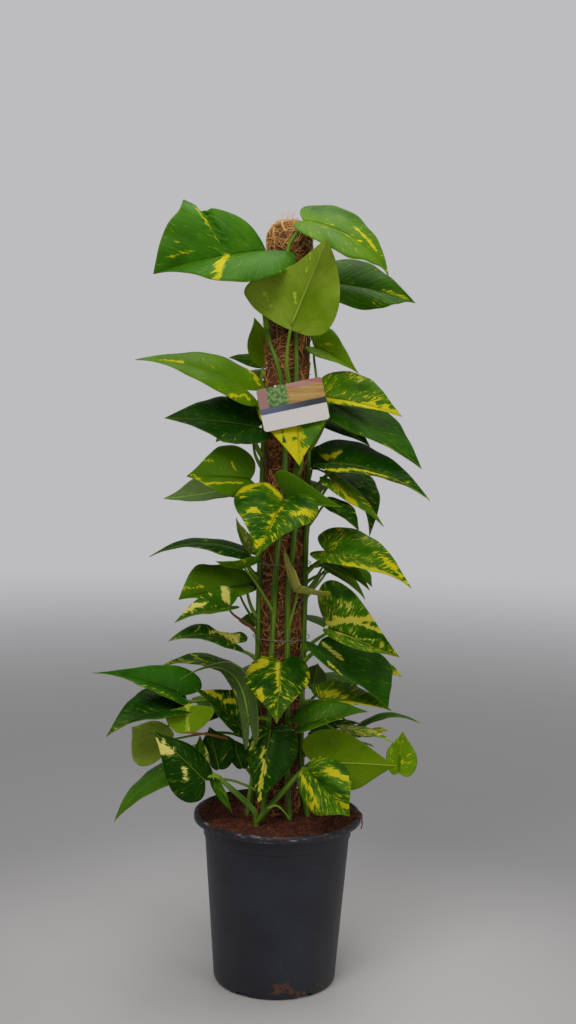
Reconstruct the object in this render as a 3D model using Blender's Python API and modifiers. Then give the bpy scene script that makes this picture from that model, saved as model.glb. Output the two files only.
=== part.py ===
"""A golden pothos climbing a coir pole in a grey nursery pot.

Metres, +Z up. The origin is the centre of the pot's underside, and the plant's front
looks along -Y. The plant is seven rooted stems tied against the pole and one low stem on
the soil. Each stem is one solid with the petioles and blades that grow from it.
"""

import math
from typing import NamedTuple

import bmesh
import bpy
from mathutils import Vector

MM = 0.001
GAP = 0.0003

# Nursery pot
POT_HEIGHT = 0.2235
POT_BASE_RADIUS = 0.080
POT_COLLAR_RADIUS = 0.0965
POT_COLLAR_HEIGHT = 0.020
POT_STEP = 0.0018
POT_RIM_RADIUS = 0.1095
POT_RIM_HEIGHT = 0.0085
POT_MOUTH_RADIUS = 0.1045
POT_WALL = 0.002
POT_FLOOR = 0.0028
POT_FOOT_CHAMFER = 0.004
POT_LIP = 0.0015
POT_SIDES = 36
DRAIN_COUNT = 6
DRAIN_SIZE = (0.016, 0.020, 0.010)

# Soil and the holes that the plant and the pole stand in
SOIL_TOP = 0.2212
SOIL_CROWN = 0.003
SOIL_CROWN_SHARE = 0.7
STEM_HOLE_RADIUS = 0.0048
HOLE_SIDES = 10
HOLE_RUN_OUT = 0.02

# Coir pole
STAKE_RADIUS = 0.0125
STAKE_TOP = 0.955
COIR_RADIUS = 0.026
COIR_BOTTOM = 0.165
COIR_TOP = 0.985
COIR_SIDES = 20
COIR_DOME = 0.010
# The dome's shoulders: share of the radius, and share of the dome's height below its top
COIR_SHOULDERS = ((0.85, 0.4), (0.5, 0.08))

# Ties that bind the stems to the pole
TIE_RADIUS = 0.0365
TIE_THICKNESS = 0.001
TIE_HEIGHTS = (0.369, 0.456, 0.553, 0.637, 0.722)
TIE_SIDES = 18

# Stems, petioles and blades. A stem thins over its last stretch, and a petiole all along.
STEM_RADIUS = 0.004
STEM_STEPS = 2
STEM_THIN_FROM = 0.8
STEM_THIN_BY = 0.35
PETIOLE_RADIUS_LOW = 0.00234
PETIOLE_RADIUS_HIGH = 0.00144
PETIOLE_STEPS = 4
# How far a petiole's bends lie from its ends, as shares of its span
PETIOLE_OUT = 0.3
PETIOLE_RISE = 0.3
PETIOLE_UNDER = 0.1
BLADE_THICKNESS = 0.001

# Card that names the plant, on its stick
CARD_SIZE = (0.082, 0.053)
CARD_CORNER = 0.004
CARD_THICKNESS = 0.001
CARD_CENTRE = (0.0085, -0.0745, 0.7575)
CARD_TILT = math.radians(6)
CARD_ROLL = math.radians(13)
STICK_RADIUS = 0.0014
STICK_PLACE = (-0.0140, 0.779)
STICK_SIDES = 8
STICK_HOLE_RADIUS = 0.0020
STICK_HOLE_MOUTH = -0.05
CARD_CORNER_STEPS = 3
STICK_DEPTH = 0.006


class Leaf(NamedTuple):
    """A blade and its petiole, in millimetres, as read from the photograph.

    root is the height where the petiole leaves its stem. base is where it meets the
    blade, tip is the blade's point, and left and right are the widest points of its two
    halves, seen from above with the tip ahead. arch is the midrib's rise as a share of
    the blade's length, and bulge is the same for each half across its width. via is a
    point that the petiole passes.
    """

    root: float
    base: tuple
    tip: tuple
    left: tuple
    right: tuple
    arch: float = 0.05
    bulge: float = 0.08
    via: tuple = ()


# The leaves of each stem
LEAVES = {
    "front_left": (
        Leaf(
            850, (-29, -44, 946), (-166, -62, 913), (-52, -94, 903), (-129, -36, 1006), 0.06, via=(-34, -40, 905),
        ),
        Leaf(620, (0, -76, 640), (-30, -146, 578), (41, -96, 625), (-59, -78, 646), 0.05, bulge=0.16),
        Leaf(490, (-49, -68, 553), (-81, -108, 566), (-63, -86, 556), (-32, -72, 568), 0.05),
        Leaf(400, (1, -70, 435), (-3, -130, 372), (37, -76, 420), (-44, -74, 419), 0.06, bulge=0.14),
        Leaf(350, (-38, -62, 357), (-123, -92, 416), (-30, -92, 394), (-54, -38, 369), 0.4),
        Leaf(250, (-81, -60, 280), (-57, -70, 242), (-68, -66, 272), (-82, -62, 268), 0.03),
    ),
    "front_right": (
        Leaf(860, (17, -34, 984), (123, -47, 918), (44, 8, 1010), (36, -80, 954), 0.13, via=(-2, -38, 945)),
        Leaf(730, (2, -62, 849), (45, -98, 957), (62, -72, 886), (-56, -50, 892), 0.04, via=(0, -44, 805)),
        Leaf(665, (13, -46, 765), (18, -86, 683), (53, -58, 755), (-37, -44, 755), 0.03),
        Leaf(600, (7, -50, 640), (73, -72, 632), (-2, -52, 675), (19, -62, 635), 0.14),
        Leaf(470, (15, -52, 522), (23, -108, 538), (1, -58, 576), (61, -62, 521), 0.0, bulge=0.0),
        Leaf(320, (-11, -62, 346), (-24, -92, 261), (24, -60, 323), (-38, -62, 326), 0.05, bulge=0.14),
        Leaf(350, (30, -66, 353), (112, -62, 373), (41, -50, 380), (42, -88, 356), 0.05),
    ),
    "left": (
        Leaf(745, (-50, -50, 774), (-186, -70, 808), (-73, -84, 766), (-58, -14, 805), 0.09),
        Leaf(690, (-34, -46, 728), (-150, -62, 737), (-55, -82, 708), (-61, -26, 763), 0.03),
        Leaf(615, (-43, -34, 661), (-121, -72, 666), (-64, -75, 642), (-67, -30, 704), 0.04),
        Leaf(558, (-41, -26, 567), (-60, -40, 613), (-51, -22, 576), (-36, -40, 584), 0.04),
        Leaf(530, (-47, -28, 567), (-167, -56, 563), (-62, -66, 566), (-65, 8, 575), 0.12),
        Leaf(480, (-43, -10, 523), (-131, -40, 507), (-66, -44, 511), (-76, -6, 551), 0.04),
        Leaf(460, (-64, -58, 503), (-132, -90, 486), (-71, -88, 501), (-76, -44, 526), 0.06),
        Leaf(425, (-58, -46, 454), (-140, -80, 461), (-68, -75, 454), (-58, -31, 470), 0.12),
        Leaf(360, (-127, -38, 383), (-236, -62, 415), (-139, -82, 389), (-121, -22, 416), 0.08),
        Leaf(350, (-124, -52, 370), (-215, -86, 340), (-134, -90, 368), (-159, -30, 392), 0.1),
        Leaf(300, (-115, -84, 346), (-114, -66, 380), (-82, -74, 372), (-142, -80, 366), 0.05),
        Leaf(340, (-50, -34, 342), (-107, -48, 393), (-65, -60, 349), (-44, -18, 377), 0.06),
        Leaf(290, (-141, -40, 286), (-207, -62, 224), (-129, -66, 281), (-162, -16, 282), 0.08),
        Leaf(290, (-76, -40, 289), (-89, -44, 345), (-97, -38, 313), (-56, -36, 320), 0.05),
        Leaf(300, (-47, -30, 288), (-60, -34, 328), (-65, -30, 305), (-37, -28, 309), 0.05),
    ),
    "right": (
        Leaf(760, (34, -14, 829), (91, -18, 797), (55, -4, 852), (36, -34, 818), 0.08),
        Leaf(745, (45, -34, 767), (144, -60, 745), (80, -14, 799), (55, -50, 759), 0.05),
        Leaf(700, (55, -22, 758), (171, -46, 680), (110, 10, 759), (59, -50, 736), 0.05),
        Leaf(640, (57, -36, 684), (181, -66, 642), (78, 2, 711), (69, -76, 676), 0.09),
        Leaf(615, (59, -34, 663), (126, -46, 606), (74, -22, 665), (61, -52, 649), 0.05),
        Leaf(600, (50, -46, 635), (94, -66, 602), (79, -40, 635), (54, -66, 629), 0.05),
        Leaf(540, (53, -46, 574), (160, -78, 534), (85, -18, 600), (63, -88, 563), 0.09),
        Leaf(515, (55, -24, 560), (111, -38, 524), (79, -18, 562), (64, -42, 550), 0.06),
        Leaf(510, (57, -8, 550), (107, -12, 508), (74, 2, 549), (62, -18, 542), 0.08),
        Leaf(440, (60, -48, 476), (148, -82, 447), (69, -44, 536), (83, -88, 461), 0.05),
        Leaf(425, (47, -26, 449), (138, -46, 375), (125, -12, 439), (51, -64, 436), 0.04),
        Leaf(300, (43, -54, 305), (150, -58, 303), (78, -62, 270), (62, -50, 347), 0.05),
        Leaf(350, (82, -18, 339), (148, -32, 326), (95, 0, 340), (91, -38, 337), 0.06),
        Leaf(370, (52, -24, 379), (144, -34, 368), (69, -2, 399), (63, -50, 378), 0.06),
    ),
    "back_right": (
        Leaf(850, (43, 20, 912), (163, 20, 889), (79, 45, 944), (94, -2, 879), 0.06),
        Leaf(700, (44, 12, 741), (109, 8, 704), (70, 28, 752), (50, 0, 727), 0.06),
        Leaf(650, (35, 26, 674), (67, 40, 709), (30, 30, 694), (64, 30, 685), 0.05),
        Leaf(625, (53, 12, 670), (111, 0, 589), (102, 36, 669), (65, -18, 664), 0.2),
        Leaf(520, (81, 18, 547), (117, 14, 521), (106, 24, 544), (90, 8, 537), 0.05),
        Leaf(430, (84, 22, 430), (160, 16, 402), (120, 32, 427), (93, 6, 415), 0.05),
        Leaf(290, (155, -26, 286), (160, -18, 338), (138, -32, 307), (179, -24, 298), -0.05),
        Leaf(360, (111, 10, 337), (185, 4, 343), (117, 26, 344), (115, -4, 342), 0.16),
        Leaf(340, (43, 6, 330), (107, 14, 339), (60, 22, 338), (60, -6, 331), 0.05),
        Leaf(400, (42, 14, 383), (49, 26, 416), (60, 18, 396), (35, 22, 405), 0.05),
        Leaf(350, (109, 16, 325), (144, 24, 328), (123, 28, 329), (122, 10, 323), 0.05),
        Leaf(860, (45, 50, 905), (112, 118, 884), (25, 85, 894), (80, 30, 895), 0.08),
        Leaf(500, (62, 60, 545), (112, 118, 522), (42, 88, 536), (92, 44, 535), 0.08),
        Leaf(350, (62, 62, 392), (122, 120, 374), (42, 96, 382), (95, 41, 382), 0.08),
        Leaf(270, (66, 70, 298), (132, 122, 280), (50, 105, 286), (97, 46, 290), 0.08),
    ),
    "back": (
        Leaf(880, (-48, 46, 934), (-112, 104, 926), (-80, 26, 926), (-32, 80, 925), 0.08),
        Leaf(820, (-4, 74, 858), (4, 162, 832), (-27, 86, 849), (21, 82, 851), 0.08),
        Leaf(760, (-22, 76, 800), (-62, 158, 776), (-59, 70, 792), (6, 100, 788), 0.08),
        Leaf(700, (30, 74, 752), (68, 152, 726), (-1, 99, 740), (69, 65, 742), 0.08),
        Leaf(600, (20, 76, 655), (48, 164, 622), (-8, 95, 644), (55, 75, 645), 0.08),
        Leaf(510, (4, 76, 560), (10, 158, 526), (-19, 86, 551), (28, 83, 551), 0.08),
        Leaf(420, (26, 76, 470), (60, 160, 440), (-6, 99, 458), (65, 71, 459), 0.08),
        Leaf(350, (-12, 80, 402), (-30, 172, 372), (-52, 82, 391), (24, 97, 390), 0.08),
        Leaf(290, (4, 86, 326), (12, 184, 290), (-36, 99, 313), (46, 93, 314), 0.08),
    ),
    "back_left": (
        Leaf(770, (-27, 34, 810), (-44, 46, 867), (-51, 30, 822), (-15, 46, 826), 0.05),
        Leaf(790, (-33, 44, 810), (-78, 84, 815), (-41, 50, 802), (-41, 62, 819), 0.05),
        Leaf(610, (-60, 12, 647), (-155, -2, 632), (-82, 34, 679), (-72, -14, 637), 0.03),
        Leaf(500, (-31, 22, 473), (-57, 44, 467), (-39, 28, 462), (-37, 34, 480), 0.05),
        Leaf(500, (-31, 16, 527), (-67, 10, 511), (-39, 2, 513), (-43, 22, 535), 0.05),
        Leaf(400, (-56, 12, 405), (-160, -4, 410), (-71, -16, 408), (-75, 38, 417), 0.13),
        Leaf(340, (-85, -14, 357), (-147, -30, 339), (-94, -30, 348), (-97, 0, 359), 0.05),
        Leaf(300, (-140, -30, 323), (-188, -42, 342), (-153, -20, 344), (-176, -48, 293), 0.05),
        Leaf(670, (-42, 62, 712), (-96, 132, 700), (-79, 47, 703), (-18, 93, 702), 0.08),
        Leaf(600, (-54, 56, 648), (-104, 120, 640), (-86, 44, 639), (-34, 84, 641), 0.08),
        Leaf(460, (-58, 52, 510), (-98, 106, 500), (-85, 42, 501), (-40, 75, 505), 0.08),
        Leaf(320, (-64, 62, 360), (-124, 122, 340), (-98, 41, 349), (-43, 96, 350), 0.08),
        Leaf(260, (-66, 74, 292), (-126, 132, 270), (-98, 54, 283), (-47, 106, 281), 0.08),
    ),
    "low_left": (
        Leaf(0, (-92, -74, 284), (-157, -90, 350), (-126, -88, 266), (-98, -66, 316), 0.05),
        Leaf(0, (-101, -52, 291), (-100, -56, 337), (-112, -56, 304), (-88, -50, 301), 0.05),
    ),
    "low_right": (
        Leaf(0, (36, -80, 303), (89, -118, 255), (83, -86, 309), (38, -110, 261), 0.05, bulge=0.14),
    ),
}

# Where each stem runs: azimuth round the pole in degrees, distance from the pole's axis
# and height in millimetres. Azimuth 0 is +X, and -90 faces the front.
STEM_ROUTES = {
    "left": (
        (-152, 52, 180), (-155, 43, 228), (-160, 33, 290), (-162, 31, 345),
        (-164, 31, 500), (-160, 31, 560), (-158, 31, 640), (-155, 31, 700), (-152, 31, 762),
    ),
    "front_left": (
        (-115, 46, 180), (-118, 40, 228), (-116, 33, 285), (-117, 31, 345),
        (-105, 31, 553), (-92, 31, 640), (-90, 31, 687), (-98, 31, 770), (-112, 31, 806),
        (-132, 33, 834), (-128, 42, 852),
    ),
    "front_right": (
        (-66, 46, 180), (-68, 40, 228), (-70, 33, 285), (-70, 31, 345), (-76, 31, 510),
        (-66, 31, 570), (-60, 31, 640), (-62, 31, 700), (-66, 31, 760), (-68, 31, 820),
        (-74, 31, 868),
    ),
    "right": (
        (-30, 52, 180), (-28, 43, 228), (-25, 33, 290), (-24, 31, 345), (-20, 31, 500),
        (-22, 31, 560), (-16, 31, 640), (-18, 31, 700), (-16, 31, 772),
    ),
    "back_right": (
        (35, 50, 180), (32, 40, 230), (30, 31, 295), (33, 31, 345), (28, 31, 600),
        (34, 31, 740), (30, 31, 868),
    ),
    "back": (
        (88, 48, 180), (92, 40, 230), (90, 31, 295), (86, 31, 345), (93, 31, 600),
        (90, 31, 740), (96, 31, 890),
    ),
    "back_left": (
        (150, 50, 180), (148, 40, 230), (150, 31, 295), (146, 31, 345), (150, 31, 600),
        (148, 31, 740), (152, 31, 800),
    ),
    "low_left": ((-114, 68, 180), (-114, 67, 226), (-117, 74, 248), (-139, 98, 284)),
    "low_right": ((-114, 67, 226), (-98, 66, 250), (-66, 78, 300)),
}

# Stems of one plant are one solid
PLANTS = {
    "vine_left": ("left",),
    "vine_front_left": ("front_left",),
    "vine_front_right": ("front_right",),
    "vine_right": ("right",),
    "vine_back_right": ("back_right",),
    "vine_back": ("back",),
    "vine_back_left": ("back_left",),
    "vine_low": ("low_left", "low_right"),
}

# Half a blade's outline from the notch at the petiole, round the lobe to the tip: along
# the midrib as a share of the length, away from it as a share of half the width, and
# where the side vein that ends there leaves the midrib.
WIDEST_SHARE = 0.13
MIDRIB_FOOT = 0.05
OUTLINE = (
    (-0.12, 0.30, 0.0),
    (-0.11, 0.76, 0.0),
    (WIDEST_SHARE, 1.00, 0.0),
    (0.43, 0.80, 0.22),
    (0.74, 0.36, 0.60),
)
# Steps from the midrib to the margin, and how long a blade is that needs both of them
ACROSS = (0.5, 1.0)
LONG_BLADE = 0.072


def start_empty():
    """Removes what the scene holds."""
    for thing in list(bpy.data.objects):
        bpy.data.objects.remove(thing, do_unlink=True)


def new_collection(name):
    made = bpy.data.collections.new(name)
    bpy.context.scene.collection.children.link(made)
    return made


def material(name, colour, roughness, metallic=0.0):
    made = bpy.data.materials.new(name)
    made.use_nodes = True
    shader = made.node_tree.nodes["Principled BSDF"]
    shader.inputs["Base Color"].default_value = (*colour, 1)
    shader.inputs["Roughness"].default_value = roughness
    shader.inputs["Metallic"].default_value = metallic
    return made


def add_object(name, data, collection, finish=None):
    made = bpy.data.objects.new(name, data)
    collection.objects.link(made)
    if finish:
        data.materials.append(finish)
    return made


def plain_mesh(thing, name):
    """The object's evaluated shape as one closed mesh, with the object's place in it."""
    graph = bpy.context.evaluated_depsgraph_get()
    mesh = bpy.data.meshes.new_from_object(thing.evaluated_get(graph))
    mesh.transform(thing.matrix_world)
    mesh.name = name
    work = bmesh.new()
    work.from_mesh(mesh)
    bmesh.ops.remove_doubles(work, verts=work.verts, dist=0.00001)
    bmesh.ops.recalc_face_normals(work, faces=work.faces)
    work.to_mesh(mesh)
    work.free()
    bpy.data.objects.remove(thing, do_unlink=True)
    return mesh


def turned(name, profile, sides, collection, finish):
    """A profile of (radius, height) points, turned about Z."""
    mesh = bpy.data.meshes.new(name)
    points = [(radius, 0, height) for radius, height in profile]
    closed = profile[0][0] > 0
    count = len(points)
    edges = [(i, (i + 1) % count) for i in range(count if closed else count - 1)]
    mesh.from_pydata(points, edges, [])
    made = add_object(name, mesh, collection, finish)
    screw = made.modifiers.new("turn", "SCREW")
    screw.steps = sides
    screw.render_steps = sides
    screw.use_merge_vertices = True
    screw.merge_threshold = 0.0001
    screw.use_smooth_shade = True
    return made


def tube(name, points, radii, collection, resolution, closed=False):
    """A round rod through the points, as a curve with a bevel."""
    curve = bpy.data.curves.new(name, "CURVE")
    curve.dimensions = "3D"
    curve.bevel_depth = 1.0
    curve.bevel_resolution = resolution
    curve.use_fill_caps = not closed
    spline = curve.splines.new("POLY")
    spline.points.add(len(points) - 1)
    for spot, place, radius in zip(spline.points, points, radii):
        spot.co = (*place, 1)
        spot.radius = radius
    spline.use_cyclic_u = closed
    return add_object(name, curve, collection)


def cut(target, cutter):
    """Takes the cutter's shape out of the target."""
    cutter.hide_render = True
    cutter.display_type = "WIRE"
    step = target.modifiers.new(f"cut {cutter.name}", "BOOLEAN")
    step.operation = "DIFFERENCE"
    step.solver = "EXACT"
    step.object = cutter


def cylinder(name, radius, low, high, sides, collection, finish=None):
    """A cylinder from one point to another."""
    bpy.ops.mesh.primitive_cylinder_add(
        vertices=sides, radius=radius, depth=(Vector(high) - Vector(low)).length
    )
    made = bpy.context.active_object
    made.name = name
    made.location = (Vector(low) + Vector(high)) / 2
    made.rotation_euler = (Vector(high) - Vector(low)).to_track_quat("Z", "Y").to_euler()
    for holder in list(made.users_collection):
        holder.objects.unlink(made)
    collection.objects.link(made)
    if finish:
        made.data.materials.append(finish)
    return made


def smooth_route(points, steps):
    """Points of a smooth curve through the given ones."""
    ends = [points[0] * 2 - points[1], *points, points[-1] * 2 - points[-2]]
    route = []
    for a, b, c, d in zip(ends, ends[1:], ends[2:], ends[3:]):
        for step in range(steps):
            t = step / steps
            route.append(
                0.5
                * (
                    2 * b
                    + (c - a) * t
                    + (2 * a - 5 * b + 4 * c - d) * t**2
                    + (3 * b - a - 3 * c + d) * t**3
                )
            )
    route.append(points[-1])
    return route


def round_the_pole(azimuth, distance, height):
    angle = math.radians(azimuth)
    return Vector((distance * math.cos(angle), distance * math.sin(angle), height)) * MM


def stem_route(stem):
    return smooth_route([round_the_pole(*spot) for spot in STEM_ROUTES[stem]], STEM_STEPS)


def stem_point(stem, height):
    """The point of a stem's middle at a height, or its end if that is lower."""
    route = stem_route(stem)
    for low, high in zip(route, route[1:]):
        if low.z <= height <= high.z:
            return low.lerp(high, (height - low.z) / (high.z - low.z))
    return route[-1]


def midrib_point(leaf, share, up):
    """A point of the midrib, at a share of the blade's length from its base."""
    base, tip = Vector(leaf.base) * MM, Vector(leaf.tip) * MM
    rise = 4 * share * (1 - share) * leaf.arch * (tip - base).length
    return base.lerp(tip, share) + up * rise


def blade_up(leaf):
    """The direction that the blade's upper side faces."""
    base, tip, left, right = (
        Vector(spot) * MM for spot in (leaf.base, leaf.tip, leaf.left, leaf.right)
    )
    along = tip - base
    return (along.cross(left - base) - along.cross(right - base)).normalized()


def blade_point(leaf, along_share, side, out_share):
    """A point of the blade's middle surface. side is 1 on the left and -1 on the right."""
    up = blade_up(leaf)
    widest = Vector(leaf.left if side > 0 else leaf.right) * MM
    reach = widest - midrib_point(leaf, WIDEST_SHARE, up)
    rise = 4 * out_share * (1 - out_share) * leaf.bulge * reach.length
    return midrib_point(leaf, along_share, up) + reach * out_share + up * rise


def blade_mesh(leaf, name):
    """The blade's middle surface in triangles, thickened alike on both sides."""
    work = bmesh.new()
    long = (Vector(leaf.tip) - Vector(leaf.base)).length * MM > LONG_BLADE
    across = ACROSS if long else ACROSS[-1:]
    base = work.verts.new(blade_point(leaf, 0, 1, 0))
    tip = work.verts.new(blade_point(leaf, 1, 1, 0))
    feet = {0.0: base}
    for _, _, foot in OUTLINE:
        if foot not in feet:
            feet[foot] = work.verts.new(blade_point(leaf, foot, 1, 0))
    for side in (1, -1):
        rows = []
        for along, out, foot in OUTLINE:
            row = [feet[foot]]
            for share in across:
                forward = foot + (along - foot) * share
                row.append(work.verts.new(blade_point(leaf, forward, side, out * share)))
            rows.append(row)
        rows.append([tip] * (len(across) + 1))
        for near, far in zip(rows, rows[1:]):
            for i in range(len(across)):
                corners = (near[i], near[i + 1], far[i + 1], far[i])
                for three in (corners[:3], (corners[0], corners[2], corners[3])):
                    if len(set(three)) == 3:
                        work.faces.new(three if side > 0 else three[::-1])
    work.normal_update()
    mesh = bpy.data.meshes.new(name)
    work.to_mesh(mesh)
    work.free()
    return mesh


def blade(leaf, name, collection):
    made = add_object(name, blade_mesh(leaf, name), collection)
    wall = made.modifiers.new("thickness", "SOLIDIFY")
    wall.thickness = BLADE_THICKNESS
    wall.offset = 0
    wall.use_even_offset = True
    split = made.modifiers.new("triangles", "TRIANGULATE")
    split.quad_method = "FIXED"
    return made


def petiole_route(stem, leaf):
    """From inside the stem to the foot of the midrib, in one bend."""
    up = blade_up(leaf)
    along = (Vector(leaf.tip) - Vector(leaf.base)).normalized()
    start = stem_point(stem, leaf.root * MM)
    end = midrib_point(leaf, MIDRIB_FOOT, up)
    span = (end - start).length
    if leaf.via:
        # Both handles in one place, so that the curve's middle falls on the point
        middle = (Vector(leaf.via) * MM * 8 - start - end) / 6
        bends = (middle, middle)
    else:
        out = Vector((start.x, start.y, 0)).normalized()
        bends = (
            start + (out * PETIOLE_OUT + Vector((0, 0, PETIOLE_RISE))) * span,
            end - (along * PETIOLE_UNDER + up * PETIOLE_RISE) * span,
        )
    route = []
    for step in range(PETIOLE_STEPS + 1):
        t = step / PETIOLE_STEPS
        route.append(
            start * (1 - t) ** 3
            + bends[0] * 3 * t * (1 - t) ** 2
            + bends[1] * 3 * t**2 * (1 - t)
            + end * t**3
        )
    return route


def petiole_rod(stem, leaf, name, collection):
    route = petiole_route(stem, leaf)
    thinning = (PETIOLE_RADIUS_LOW - PETIOLE_RADIUS_HIGH) / PETIOLE_STEPS
    radii = [PETIOLE_RADIUS_LOW - thinning * step for step in range(PETIOLE_STEPS + 1)]
    return tube(name, route, radii, collection, 0)


def stem_rod(stem, collection):
    route = stem_route(stem)
    last = len(route) - 1
    radii = []
    for number in range(last + 1):
        past = max(0, number / last - STEM_THIN_FROM) / (1 - STEM_THIN_FROM)
        radii.append(STEM_RADIUS * (1 - STEM_THIN_BY * past))
    return tube(stem, route, radii, collection, 1)


def vine(name, stems, plant, finish):
    """One solid: the stems with the petioles and blades that grow from them."""
    growth = new_collection(f"{name} growth")
    pieces = [stem_rod(stem, growth) for stem in stems]
    for stem in stems:
        for number, leaf in enumerate(LEAVES[stem]):
            pieces.append(petiole_rod(stem, leaf, f"{stem} petiole {number}", growth))
            pieces.append(blade(leaf, f"{stem} blade {number}", growth))
    for piece in pieces:
        label = piece.name
        mesh = plain_mesh(piece, label)
        add_object(label, mesh, growth)
    trunk = growth.objects[stems[0]]
    growth.objects.unlink(trunk)
    plant.objects.link(trunk)
    trunk.name = name
    join = trunk.modifiers.new("join", "BOOLEAN")
    join.operation = "UNION"
    join.operand_type = "COLLECTION"
    join.collection = growth
    join.solver = "MANIFOLD"
    mesh = plain_mesh(trunk, name)
    for piece in list(growth.objects):
        bpy.data.objects.remove(piece, do_unlink=True)
    bpy.data.collections.remove(growth)
    mesh.materials.clear()
    made = add_object(name, mesh, plant, finish)
    made.data.shade_smooth()
    return made


def wall_radius(height):
    """The body's outer radius below the collar."""
    top = POT_HEIGHT - POT_RIM_HEIGHT - POT_COLLAR_HEIGHT
    share = height / top
    return POT_BASE_RADIUS + (POT_COLLAR_RADIUS - POT_STEP - POT_BASE_RADIUS) * share


def mouth_radius(height):
    """The pot's inner radius at a height in its flared mouth."""
    low = POT_HEIGHT - POT_RIM_HEIGHT + POT_LIP
    share = (height - low) / (POT_HEIGHT - POT_LIP - low)
    inner_top = POT_COLLAR_RADIUS - POT_WALL
    return inner_top + (POT_MOUTH_RADIUS - inner_top) * share


def pot(plant, cutters, finish):
    """A tapered pot with a collar, a rolled rim and drain notches round its foot."""
    collar_top = POT_HEIGHT - POT_RIM_HEIGHT
    collar_low = collar_top - POT_COLLAR_HEIGHT
    inner_top = POT_COLLAR_RADIUS - POT_WALL
    profile = (
        (0, POT_FLOOR),
        (wall_radius(POT_FLOOR) - POT_WALL, POT_FLOOR),
        (wall_radius(collar_low) - POT_WALL, collar_low),
        (inner_top, collar_low + POT_STEP),
        (inner_top, collar_top + POT_LIP),
        (POT_MOUTH_RADIUS, POT_HEIGHT - POT_LIP),
        (POT_MOUTH_RADIUS + POT_LIP, POT_HEIGHT),
        (POT_RIM_RADIUS - 2 * POT_LIP, POT_HEIGHT),
        (POT_RIM_RADIUS, POT_HEIGHT - 2 * POT_LIP),
        (POT_RIM_RADIUS, collar_top),
        (POT_RIM_RADIUS - POT_WALL, collar_top),
        (POT_COLLAR_RADIUS, collar_top + POT_LIP),
        (POT_COLLAR_RADIUS, collar_low),
        (wall_radius(collar_low), collar_low - POT_STEP / 2),
        (wall_radius(POT_FOOT_CHAMFER), POT_FOOT_CHAMFER),
        (POT_BASE_RADIUS - POT_FOOT_CHAMFER, 0),
        (0, 0),
    )
    body = turned("pot", profile, POT_SIDES, plant, finish)
    for number in range(DRAIN_COUNT):
        angle = math.tau * number / DRAIN_COUNT
        bpy.ops.mesh.primitive_cube_add(size=1)
        notch = bpy.context.active_object
        notch.name = f"drain_notch_{number}"
        notch.scale = DRAIN_SIZE
        notch.rotation_euler.z = angle
        notch.location = Vector((math.cos(angle), math.sin(angle), 0)) * POT_BASE_RADIUS
        for holder in list(notch.users_collection):
            holder.objects.unlink(notch)
        cutters.objects.link(notch)
        cut(body, notch)
    return body


def soil(plant, cutters, finish):
    """The root ball, filling the pot, with a hole for the pole and one for each stem."""
    collar_low = POT_HEIGHT - POT_RIM_HEIGHT - POT_COLLAR_HEIGHT
    inner_top = POT_COLLAR_RADIUS - POT_WALL - GAP
    mouth_low = POT_HEIGHT - POT_RIM_HEIGHT + POT_LIP
    edge = mouth_radius(SOIL_TOP) - 2 * GAP
    bottom = POT_FLOOR + GAP
    profile = (
        (STAKE_RADIUS + GAP, bottom),
        (STAKE_RADIUS + GAP, COIR_BOTTOM - GAP),
        (COIR_RADIUS + GAP, COIR_BOTTOM - GAP),
        (COIR_RADIUS + GAP, SOIL_TOP + SOIL_CROWN),
        (edge * SOIL_CROWN_SHARE, SOIL_TOP + SOIL_CROWN / 2),
        (edge, SOIL_TOP),
        (inner_top, mouth_low),
        (inner_top, collar_low + POT_STEP),
        (wall_radius(collar_low) - POT_WALL - GAP, collar_low),
        (wall_radius(bottom) - POT_WALL - GAP, bottom),
    )
    ball = turned("soil", profile, POT_SIDES, plant, finish)
    rooted = [name for name in STEM_ROUTES if name != "low_right"]
    for name in rooted:
        foot, knee = (round_the_pole(*spot) for spot in STEM_ROUTES[name][:2])
        low = foot + (foot - knee).normalized() * 2 * GAP
        high = knee + (knee - foot).normalized() * HOLE_RUN_OUT
        hole = cylinder(f"hole_{name}", STEM_HOLE_RADIUS, low, high, HOLE_SIDES, cutters)
        cut(ball, hole)
    return ball


def coir(plant, cutters, finish):
    """The fibre sleeve, domed at the top and open below for the stake."""
    shoulders = [(COIR_RADIUS * out, COIR_TOP - COIR_DOME * down) for out, down in COIR_SHOULDERS]
    profile = (
        (0, STAKE_TOP + GAP),
        (STAKE_RADIUS + GAP, STAKE_TOP + GAP),
        (STAKE_RADIUS + GAP, COIR_BOTTOM),
        (COIR_RADIUS, COIR_BOTTOM),
        (COIR_RADIUS, COIR_TOP - COIR_DOME),
        *shoulders,
        (0, COIR_TOP),
    )
    sleeve = turned("coir_sleeve", profile[::-1], COIR_SIDES, plant, finish)
    x, height = STICK_PLACE
    face = -math.sqrt(COIR_RADIUS**2 - x**2)
    hole = cylinder(
        "hole_stick", STICK_HOLE_RADIUS, (x, face + STICK_DEPTH + GAP, height),
        (x, STICK_HOLE_MOUTH, height), STICK_SIDES, cutters,
    )
    cut(sleeve, hole)
    return sleeve


def stake(plant, finish):
    low = (0, 0, POT_FLOOR + GAP)
    return cylinder("stake", STAKE_RADIUS, low, (0, 0, STAKE_TOP), COIR_SIDES, plant, finish)


def tie(number, height, plant, finish):
    ring = [
        Vector((math.cos(math.tau * i / TIE_SIDES), math.sin(math.tau * i / TIE_SIDES), 0))
        * TIE_RADIUS
        + Vector((0, 0, height))
        for i in range(TIE_SIDES)
    ]
    thread = tube(f"tie_{number}", ring, [TIE_THICKNESS / 2] * TIE_SIDES, plant, 0, closed=True)
    thread.data.materials.append(finish)
    return thread


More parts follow.
